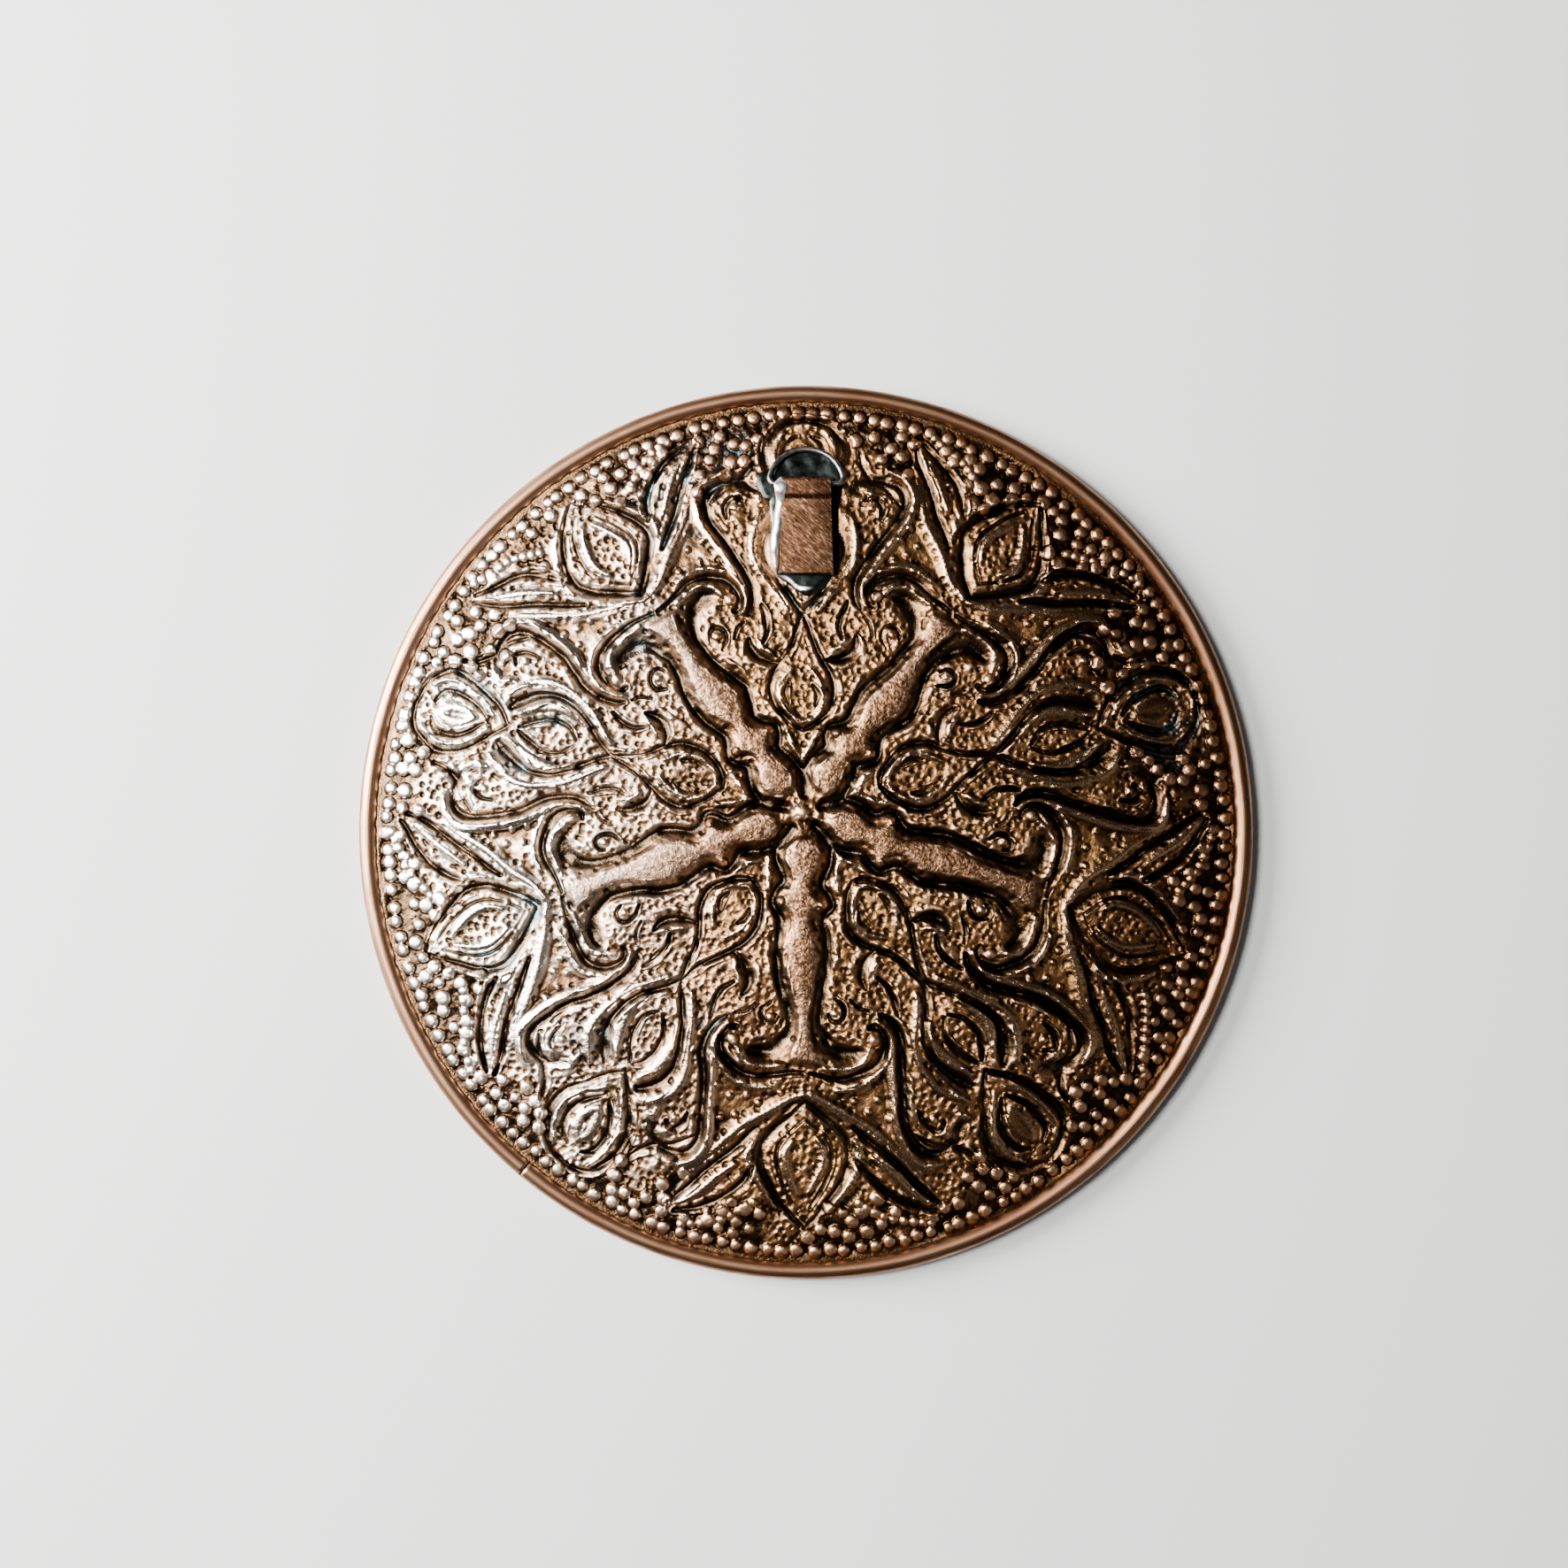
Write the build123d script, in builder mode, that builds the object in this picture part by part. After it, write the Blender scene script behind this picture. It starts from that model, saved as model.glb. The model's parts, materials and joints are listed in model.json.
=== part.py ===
"""Round hanging mirror with a domed, chased copper back, a rolled copper rim and a D-ring hanger.

The mirror lies on its face. The origin is the middle of the rim's front edge, +Z points out of
the chased back and +Y towards the hanger. Sizes are in millimetres and angles in degrees.
"""

import os
from math import asin, cos, degrees, pi, radians, sin, sqrt

from build123d import *

# Rim: a copper strip bent into a channel, closed by one soldered butt joint
overall_diameter = 165.0
rim_gauge = 0.4
roll_radius = 1.65  # outside of the half-round roll on the back
front_corner_radius = 1.2  # outside of the bend at the front
front_lip_width = 3.0  # from the overall radius in to the raw edge over the glass
roll_above_plate = 1.3
seam_angle = 230.0  # where the two ends of the strip meet, from +X
seam_width = 0.3

# What the rim clamps, from the front to the back
glass_thickness = 2.0
glass_arris = 0.3
silvering_thickness = 0.1
board_thickness = 0.4
plate_gauge = 0.4
disc_clearance = 0.1  # between the edges of the discs and the bends of the rim
seat_clearance = 0.02  # between the roll's raw edge and the plate

# Dome and the ornament raised from it
dome_height = 7.0
dome_foot_gap = 0.6  # from the roll in to the foot of the dome
arm_count = 5
emboss_height = 0.7
emboss_wall = 0.4  # how much smaller the hollow under the ornament is
hub_radius = 1.5
arm_profile = [(5.6, 0.0), (8.6, 3.7), (12.6, 1.9), (15.2, 3.4), (17.0, 2.8)]
arm_profile += [(22.4, 4.0), (31.5, 2.5), (38.0, 1.8), (44.5, 2.6)]

# Hanger: a strap folded round the straight bar of a D-ring
hanger_from_edge = 27.3  # from the overall radius in to the middle of the strap
strap_gauge = 0.8
strap_cut_width = 9.9
strap_fold_width = 9.0
strap_length = 16.7  # from the bar to the cut ends
fold_top_length = 0.5  # of the upper leaf that runs level past the bar
fold_slope_length = 2.2  # of the upper leaf that comes down to the lower one
leaf_gap = 0.2  # filled with solder
wire_diameter = 1.0
ring_inside_width = 12.7
ring_corner_radius = 1.2  # of the wire's own line
bar_clearance = 0.05
ring_rest_tilt = 9.0  # how far the ring leans from the strap down to the dome

# Solder that holds the strap to the dome
bed_thickness = 0.5
bed_margin = 1.6
bed_head_radius = 5.4
bed_corner_radius = 2.5
fillet_width = 1.5  # of the run of solder up the strap's side

# Heights through the clamped stack
overall_radius = overall_diameter / 2
glass_bottom = rim_gauge
silvering_bottom = glass_bottom + glass_thickness
board_bottom = silvering_bottom + silvering_thickness
plate_bottom = board_bottom + board_thickness
plate_top = plate_bottom + plate_gauge
rim_height = plate_top + roll_above_plate
disc_radius = overall_radius - front_corner_radius - disc_clearance

# The dome's outside is a sphere through its foot and its crown
dome_radius = overall_radius - 2 * roll_radius - dome_foot_gap
sphere_radius = (dome_radius**2 + dome_height**2) / (2 * dome_height)
sphere_centre = plate_top + dome_height - sphere_radius
inside_radius = sphere_radius - plate_gauge
inside_foot = sqrt(inside_radius**2 - (plate_bottom - sphere_centre) ** 2)


def rim_section_plane(angle):
    """Upright plane through the mirror's axis, turned to an angle from +X."""
    turn = radians(angle)
    return Plane((0, 0, 0), x_dir=(cos(turn), sin(turn), 0), z_dir=(sin(turn), -cos(turn), 0))


def rim_section(angle):
    """Face of the channel at an angle: front lip, bend, outer wall and half-round roll."""
    wall, lip = overall_radius, overall_radius - front_lip_width
    bend, roll = overall_radius - front_corner_radius, overall_radius - roll_radius
    roll_height = rim_height - roll_radius
    inside_roll = roll_radius - rim_gauge
    inside_bend = front_corner_radius - rim_gauge
    eighth = sin(pi / 4)
    # The roll stops where the inner corner of its raw edge comes down to the plate
    stop = pi - asin((plate_top + seat_clearance - roll_height) / inside_roll)
    outer_end = (roll + roll_radius * cos(stop), roll_height + roll_radius * sin(stop))
    inner_end = (roll + inside_roll * cos(stop), roll_height + inside_roll * sin(stop))
    outer_bend = (bend + front_corner_radius * eighth, front_corner_radius * (1 - eighth))
    inner_bend = (bend + inside_bend * eighth, front_corner_radius - inside_bend * eighth)
    with BuildSketch(rim_section_plane(angle)) as section:
        with BuildLine():
            Line((lip, 0), (bend, 0))
            ThreePointArc((bend, 0), outer_bend, (wall, front_corner_radius))
            Line((wall, front_corner_radius), (wall, roll_height))
            ThreePointArc((wall, roll_height), (roll, rim_height), outer_end)
            Line(outer_end, inner_end)
            ThreePointArc(inner_end, (roll, rim_height - rim_gauge), (wall - rim_gauge, roll_height))
            Line((wall - rim_gauge, roll_height), (wall - rim_gauge, front_corner_radius))
            ThreePointArc((wall - rim_gauge, front_corner_radius), inner_bend, (bend, rim_gauge))
            Line((bend, rim_gauge), (lip, rim_gauge))
            Line((lip, rim_gauge), (lip, 0))
        make_face()
    return section.sketch


seam_arc = degrees(seam_width / overall_radius)

with BuildPart() as rim_channel:
    revolve(rim_section(seam_angle + seam_arc / 2), axis=Axis.Z, revolution_arc=360 - seam_arc)

with BuildPart() as rim_seam_solder:
    revolve(rim_section(seam_angle - seam_arc / 2), axis=Axis.Z, revolution_arc=seam_arc)

with BuildPart() as mirror_glass:
    with BuildSketch(Plane.XY.offset(glass_bottom)):
        Circle(disc_radius)
    extrude(amount=glass_thickness)
    chamfer(mirror_glass.edges().group_by(Axis.Z)[0], glass_arris)

with BuildPart() as mirror_silvering:
    with BuildSketch(Plane.XY.offset(silvering_bottom)):
        Circle(disc_radius)
    extrude(amount=silvering_thickness)

with BuildPart() as backing_board:
    with BuildSketch(Plane.XY.offset(board_bottom)):
        Circle(disc_radius)
    extrude(amount=board_thickness)


def ornament(inset, shell_radius):
    """Arms and hub as columns that end at a sphere about the dome's centre."""
    half = [(x, y - inset) for x, y in arm_profile[1:]]
    half.insert(0, (arm_profile[0][0] + inset, 0))
    half[-1] = (half[-1][0] - inset, half[-1][1])
    with BuildSketch() as arm:
        with BuildLine():
            side = Spline(*half)
            mirror(side, about=Plane.XZ)
            foot = side @ 1
            Line(foot, (foot.X, -foot.Y))
        make_face()
    with BuildPart() as columns:
        with BuildSketch(Plane.XY.offset(plate_bottom)):
            with PolarLocations(0, arm_count, start_angle=-90):
                add(arm.sketch)
            Circle(hub_radius - inset)
        extrude(amount=dome_height + emboss_height + plate_gauge)
        with Locations((0, 0, sphere_centre)):
            Sphere(shell_radius + emboss_height, mode=Mode.INTERSECT)
    return columns.part


raised = ornament(0, sphere_radius)
hollow = ornament(emboss_wall, inside_radius)

with BuildPart() as back_plate:
    with BuildSketch(Plane.XZ):
        with BuildLine():
            crown, dome_foot = (0, plate_top + dome_height), (dome_radius, plate_top)
            inside_crown = (0, plate_bottom + dome_height)
            RadiusArc(crown, dome_foot, sphere_radius)
            Line(dome_foot, (disc_radius, plate_top))
            Line((disc_radius, plate_top), (disc_radius, plate_bottom))
            Line((disc_radius, plate_bottom), (inside_foot, plate_bottom))
            RadiusArc((inside_foot, plate_bottom), inside_crown, -inside_radius)
            Line(inside_crown, crown)
        make_face()
    revolve(axis=Axis.Z)
    add(raised)
    add(hollow, mode=Mode.SUBTRACT)

# The hanger is drawn on the plane that touches the dome under the middle of the strap,
# with its own Y pointing outwards along the slope
hanger_distance = overall_radius - hanger_from_edge
slope = asin(hanger_distance / sphere_radius)
contact = (0, hanger_distance, sphere_centre + sphere_radius * cos(slope))
hanger_plane = Plane(contact, x_dir=(1, 0, 0), z_dir=(0, sin(slope), cos(slope)))
strap_side_plane = Plane(contact, x_dir=hanger_plane.y_dir, z_dir=(1, 0, 0))

bar_y = strap_length / 2
cut_y = bar_y - strap_length
lower_leaf_top = bed_thickness + strap_gauge
upper_leaf_bottom = lower_leaf_top + leaf_gap
upper_leaf_top = upper_leaf_bottom + strap_gauge
fold_inside = wire_diameter / 2 + bar_clearance
fold_outside = fold_inside + strap_gauge
bar_z = lower_leaf_top + fold_inside
level_y = bar_y - fold_top_length
flat_y = level_y - fold_slope_length
strap_end_plane = Plane(
    hanger_plane.from_local_coords((0, cut_y, 0)), x_dir=(1, 0, 0), z_dir=-hanger_plane.y_dir
)


def strap_outline(start_y, end_y, height):
    """The strap from above at a height over the dome: narrower at the fold than at the cut."""
    fold_y = bar_y + fold_outside
    half_fold, half_cut = strap_fold_width / 2, strap_cut_width / 2
    with BuildSketch(hanger_plane.offset(height)) as outline:
        Polygon(
            (-half_cut, cut_y),
            (half_cut, cut_y),
            (half_fold, fold_y),
            (-half_fold, fold_y),
            align=None,
        )
        with Locations((0, (start_y + end_y) / 2)):
            Rectangle(strap_cut_width, end_y - start_y, mode=Mode.INTERSECT)
    return outline.sketch


with BuildPart() as hanger_strap:
    with BuildSketch(strap_side_plane):
        with BuildLine():
            Line((cut_y, bed_thickness), (bar_y, bed_thickness))
            ThreePointArc(
                (bar_y, bed_thickness), (bar_y + fold_outside, bar_z), (bar_y, bar_z + fold_outside)
            )
            Polyline(
                (bar_y, bar_z + fold_outside),
                (level_y, bar_z + fold_outside),
                (flat_y, upper_leaf_top),
                (cut_y, upper_leaf_top),
                (cut_y, upper_leaf_bottom),
                (flat_y, upper_leaf_bottom),
                (level_y, bar_z + fold_inside),
                (bar_y, bar_z + fold_inside),
            )
            ThreePointArc(
                (bar_y, bar_z + fold_inside), (bar_y + fold_inside, bar_z), (bar_y, lower_leaf_top)
            )
            Polyline((bar_y, lower_leaf_top), (cut_y, lower_leaf_top), (cut_y, bed_thickness))
        make_face()
    extrude(amount=strap_cut_width / 2, both=True)
    extrude(
        strap_outline(cut_y, bar_y + fold_outside, 0),
        amount=bar_z + fold_outside,
        mode=Mode.INTERSECT,
    )

with BuildPart() as leaf_solder:
    extrude(strap_outline(cut_y, flat_y, lower_leaf_top), amount=leaf_gap)

# The room that the strap and the solder between its leaves take above the bed
with BuildPart() as strap_room:
    extrude(strap_outline(cut_y, bar_y, bed_thickness), amount=upper_leaf_top)

with BuildPart() as solder_bed:
    with BuildSketch(hanger_plane.offset(-bed_thickness)):
        with Locations((0, (bar_y + cut_y - bed_margin) / 2)):
            RectangleRounded(
                strap_cut_width + 2 * bed_margin, strap_length + bed_margin, bed_corner_radius
            )
        with Locations((0, bar_y)):
            Circle(bed_head_radius)
    extrude(amount=2 * bed_thickness)
    # The solder also runs up one side of the strap, as far as the slope of the upper leaf
    with BuildSketch(strap_end_plane):
        Polygon(
            (0, 0),
            (-strap_cut_width / 2 - fillet_width, 0),
            (-strap_cut_width / 2 - fillet_width, bed_thickness),
            (-strap_fold_width / 2, upper_leaf_top),
            (0, upper_leaf_top),
            align=None,
        )
    extrude(amount=-(flat_y - cut_y))
    add(strap_room.part, mode=Mode.SUBTRACT)
    with Locations((0, 0, sphere_centre)):
        Sphere(sphere_radius, mode=Mode.SUBTRACT)

ring_line = (ring_inside_width + wire_diameter) / 2
tilt = slope + radians(ring_rest_tilt)
bar_centre = hanger_plane.from_local_coords((0, bar_y, bar_z))
ring_plane = Plane(bar_centre, x_dir=(1, 0, 0), z_dir=(0, sin(tilt), cos(tilt)))

with BuildPart() as hanger_ring:
    with BuildLine(ring_plane) as ring_path:
        ThreePointArc((ring_line, 0), (0, ring_line), (-ring_line, 0))
        Line((-ring_line, 0), (ring_line, 0))
        corners = ring_path.vertices()
        fillet(corners, ring_corner_radius)
    with BuildSketch(Plane(ring_path.line @ 0, z_dir=ring_path.line % 0)):
        Circle(wire_diameter / 2)
    sweep(path=ring_path.line)

os.makedirs("parts", exist_ok=True)
pieces = {
    "rim_channel": rim_channel,
    "rim_seam_solder": rim_seam_solder,
    "mirror_glass": mirror_glass,
    "mirror_silvering": mirror_silvering,
    "backing_board": backing_board,
    "back_plate": back_plate,
    "hanger_strap": hanger_strap,
    "leaf_solder": leaf_solder,
    "solder_bed": solder_bed,
    "hanger_ring": hanger_ring,
}
for name, piece in pieces.items():
    piece.part.label = name
    export_step(piece.part, f"parts/{name}.step")

print(f"bar centre {tuple(round(c, 4) for c in bar_centre)}, slope {degrees(slope):.3f}")
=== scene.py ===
import json
import math
import bmesh
import bpy
import numpy as np
from mathutils import Matrix, Vector


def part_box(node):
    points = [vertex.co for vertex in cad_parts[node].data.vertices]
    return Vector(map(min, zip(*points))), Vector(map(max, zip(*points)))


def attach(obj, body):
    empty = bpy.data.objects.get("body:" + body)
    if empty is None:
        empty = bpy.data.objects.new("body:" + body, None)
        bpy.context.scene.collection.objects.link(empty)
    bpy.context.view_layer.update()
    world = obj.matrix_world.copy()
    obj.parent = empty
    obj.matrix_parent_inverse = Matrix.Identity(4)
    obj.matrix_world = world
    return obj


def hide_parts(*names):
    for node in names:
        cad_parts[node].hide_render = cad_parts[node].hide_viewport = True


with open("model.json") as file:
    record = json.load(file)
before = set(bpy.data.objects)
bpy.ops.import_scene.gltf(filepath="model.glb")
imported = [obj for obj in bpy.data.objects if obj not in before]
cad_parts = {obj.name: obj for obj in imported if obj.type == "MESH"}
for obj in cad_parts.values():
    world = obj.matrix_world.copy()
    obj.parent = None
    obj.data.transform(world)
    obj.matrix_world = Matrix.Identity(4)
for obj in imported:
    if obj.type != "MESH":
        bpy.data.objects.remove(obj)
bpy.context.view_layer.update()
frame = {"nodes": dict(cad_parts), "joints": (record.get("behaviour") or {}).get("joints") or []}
mm = 0.001
print("frame loaded")

rimLow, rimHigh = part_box("rim_channel")
overallRadius = (rimHigh[0] - rimLow[0]) / 2 / mm
rimTop = rimHigh[2] / mm
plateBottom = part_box("back_plate")[0][2] / mm
swing = frame["joints"][0]
barY, barZ = swing["pos_m"][1] / mm, swing["pos_m"][2] / mm

plate = {
    "gauge": 0.4,
    "domeRadius": 78.6,
    "domeHeight": 7.0,
    "edgeRadius": 80.6,  # hidden under the roll of the rim
    "cell": 0.1,  # of the relief map
    "arms": 5,  # of the ornament, and petals of the mesh
    "gridSteps": 310,  # along each side of one petal
    "hubShift": (-0.65, 3.74),  # the hammered centre sits a little off the rim's centre
    "wander": 0.35,  # how far the hand strays from the drawn line
    "troughDepth": 0.7,
    "lineWidth": 0.68,  # share of the drawn width for every line but the ones beside an arm
    "ridgeWidth": 1.45,  # the same for the raised lines
    "notchSpacing": 1.3,  # of the punch marks that break up a thin raised line
    "lipHeight": 0.26,  # metal pushed up beside a trough
    "raisedHeight": 0.95,
    "armHeight": 1.05,
    "pillow": 1.1,  # how much the ground swells between the troughs
    "sunkDepth": 0.3,
    "pitSpacing": 1.48,
    "pitRadius": 0.64,
    "pitDepth": 0.32,
    "beadHeight": 1.0,
    "borderFrom": 69.0,  # about where the bare strip with the large beads begins
    "seed": 7,
}
plateTop = plateBottom + plate["gauge"]
sphereRadius = (plate["domeRadius"] ** 2 + plate["domeHeight"] ** 2) / (2 * plate["domeHeight"])
sphereCentre = plateTop + plate["domeHeight"] - sphereRadius
armTurn = 360 / plate["arms"]


def domeHeight(radius):
    inside = np.sqrt(np.maximum(sphereRadius**2 - radius**2, 0)) + sphereCentre
    return np.where(radius < plate["domeRadius"], inside, plateTop)


halfCells = int(math.ceil((plate["edgeRadius"] + 0.4) / plate["cell"]))
cellLine = (np.arange(-halfCells, halfCells + 1) * plate["cell"]).astype(np.float32)
mapShape = (len(cellLine), len(cellLine))
layerNames = ("trough", "raised", "lip", "sunk", "bead", "pit", "calm", "arm")
layers = {name: np.zeros(mapShape, np.float32) for name in layerNames}
dice = np.random.default_rng(plate["seed"])


def smoothStep(value):
    value = np.clip(value, 0, 1)
    return value * value * (3 - 2 * value)


def curveThrough(points, step=0.5, closed=False):
    points = np.array(points, float)
    if closed:
        ring = np.vstack([points[-1], points, points[0], points[1]])
    else:
        ring = np.vstack([2 * points[0] - points[1], points, 2 * points[-1] - points[-2]])
    pieces = []
    for a, b, c, d in zip(ring[:-3], ring[1:-2], ring[2:-1], ring[3:]):
        count = max(2, int(np.hypot(*(c - b)[:2]) / step))
        t = np.linspace(0, 1, count, endpoint=False)[:, None]
        pieces.append(0.5 * (2 * b + (c - a) * t + (2 * a - 5 * b + 4 * c - d) * t**2
                             + (3 * b - a - 3 * c + d) * t**3))
    if not closed:
        pieces.append(points[-1:])
    return np.vstack(pieces)


def strayed(path, strength=1.0):
    x, y = path[:, 0], path[:, 1]
    out = path.copy()
    reach = plate["wander"] * strength
    out[:, 0] += reach * (np.sin(0.21 * x + 0.13 * y + 1.3) + 0.6 * np.sin(0.47 * y - 0.31 * x + 4.0))
    out[:, 1] += reach * (np.sin(0.19 * y - 0.17 * x + 2.1) + 0.6 * np.sin(0.43 * x + 0.37 * y + 0.7))
    return out


def onArm(path, arm, side):
    turn = math.radians(-90 + armTurn * arm)
    out = path.copy()
    u, v = path[:, 0] * side, path[:, 1]
    x = v * math.cos(turn) - u * math.sin(turn)
    y = v * math.sin(turn) + u * math.cos(turn)
    fade = 1 - np.minimum((x**2 + y**2) / overallRadius**2, 1)
    out[:, 0] = x + plate["hubShift"][0] * fade
    out[:, 1] = y + plate["hubShift"][1] * fade
    return strayed(out)


def cellOf(value):
    return int(np.clip(round(value / plate["cell"]) + halfCells, 0, mapShape[0] - 1))


def ratioTo(path, widths, reach):
    # distance from a line over its half width, as far out as reach half widths
    pad = widths.max() * reach
    x0, x1 = cellOf(path[:, 0].min() - pad), cellOf(path[:, 0].max() + pad) + 1
    y0, y1 = cellOf(path[:, 1].min() - pad), cellOf(path[:, 1].max() + pad) + 1
    ratio = np.full((y1 - y0, x1 - x0), reach, np.float32)
    for a, b, wa, wb in zip(path[:-1], path[1:], widths[:-1], widths[1:]):
        pad = max(wa, wb) * reach
        c0, c1 = cellOf(min(a[0], b[0]) - pad), cellOf(max(a[0], b[0]) + pad) + 1
        r0, r1 = cellOf(min(a[1], b[1]) - pad), cellOf(max(a[1], b[1]) + pad) + 1
        px, py = cellLine[None, c0:c1] - a[0], cellLine[r0:r1, None] - a[1]
        dx, dy = b[0] - a[0], b[1] - a[1]
        t = np.clip((px * dx + py * dy) / max(dx * dx + dy * dy, 1e-9), 0, 1)
        gap = np.hypot(px - t * dx, py - t * dy) / (wa + (wb - wa) * t)
        part = ratio[r0 - y0:r1 - y0, c0 - x0:c1 - x0]
        np.minimum(part, gap, out=part)
    return (slice(y0, y1), slice(x0, x1)), ratio


def takeHigher(layer, window, values):
    part = layers[layer][window]
    np.maximum(part, values, out=part)


def trough(points, arm, side, depth, width):
    path = onArm(curveThrough(points), arm, side)
    window, ratio = ratioTo(path, path[:, 2] * width, 2.4)
    takeHigher("trough", window, depth * (1 - smoothStep((ratio - 0.05) / 1.3)))
    takeHigher("lip", window, np.clip(1 - ((ratio - 1.7) / 0.6) ** 2, 0, 1))


def ridge(points, arm, side, height, notch):
    path = onArm(curveThrough(points), arm, side)
    widths = path[:, 2] * plate["ridgeWidth"]
    if notch:
        run = np.cumsum(np.r_[0, np.hypot(*np.diff(path[:, :2], axis=0).T)])
        widths *= 1 + notch * np.sin(run * 2 * math.pi / plate["notchSpacing"])
    window, ratio = ratioTo(path, widths, 1.3)
    takeHigher("raised", window, height * (1 - smoothStep((ratio - 0.1) / 1.0)))


def insideOf(path, window):
    px, py = cellLine[None, window[1]], cellLine[window[0], None]
    inside = np.zeros((py.shape[0], px.shape[1]), bool)
    for a, b in zip(path, np.roll(path, -1, axis=0)):
        if a[1] == b[1]:
            continue
        slant = (b[0] - a[0]) * (py - a[1]) / (b[1] - a[1])
        inside ^= ((a[1] > py) != (b[1] > py)) & (px < slant + a[0])
    return inside


def area(layer, points, arm, side, soft, bulge=0.0):
    path = onArm(curveThrough(points, 0.7, closed=True), arm, side)
    loop = np.vstack([path, path[:1]])
    reach = 3.0 if bulge else 1.0
    window, ratio = ratioTo(loop, np.full(len(loop), soft), reach)
    inside = insideOf(path, window)
    values = np.where(inside, smoothStep(ratio), 0)
    if bulge:
        values = values * (1 - bulge) + bulge * np.where(inside, np.sqrt(ratio / reach), 0)
    takeHigher(layer, window, values)


def stamp(layer, xs, ys, radii, heights, power, flat=2.0):
    reach = int(math.ceil(float(np.max(radii)) / plate["cell"]))
    ci = np.round(xs / plate["cell"]).astype(int)
    ri = np.round(ys / plate["cell"]).astype(int)
    for dr in range(-reach, reach + 1):
        for dc in range(-reach, reach + 1):
            col, row = ci + dc, ri + dr
            gap = np.hypot(col * plate["cell"] - xs, row * plate["cell"] - ys) / radii
            fine = (gap < 1) & (np.abs(col) <= halfCells) & (np.abs(row) <= halfCells)
            values = heights[fine] * (1 - gap[fine] ** flat) ** power
            np.maximum.at(layers[layer], (row[fine] + halfCells, col[fine] + halfCells),
                          values.astype(np.float32))


def readMap(values, xs, ys):
    fx = np.clip(xs / plate["cell"] + halfCells, 0, mapShape[1] - 1.001)
    fy = np.clip(ys / plate["cell"] + halfCells, 0, mapShape[0] - 1.001)
    c, r = fx.astype(int), fy.astype(int)
    tx, ty = fx - c, fy - r
    return ((values[r, c] * (1 - tx) + values[r, c + 1] * tx) * (1 - ty)
            + (values[r + 1, c] * (1 - tx) + values[r + 1, c + 1] * tx) * ty)


def softened(values, width):
    rows = np.fft.fftfreq(mapShape[0], plate["cell"])[:, None]
    cols = np.fft.rfftfreq(mapShape[1], plate["cell"])[None, :]
    fade = np.exp(-2 * (math.pi * width) ** 2 * (rows**2 + cols**2))
    return np.fft.irfft2(np.fft.rfft2(values) * fade, s=mapShape).astype(np.float32)


def detailOf(values, fine, broad):
    # what is left between a fine and a broad softening
    return softened(values, fine) - softened(values, broad)


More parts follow.
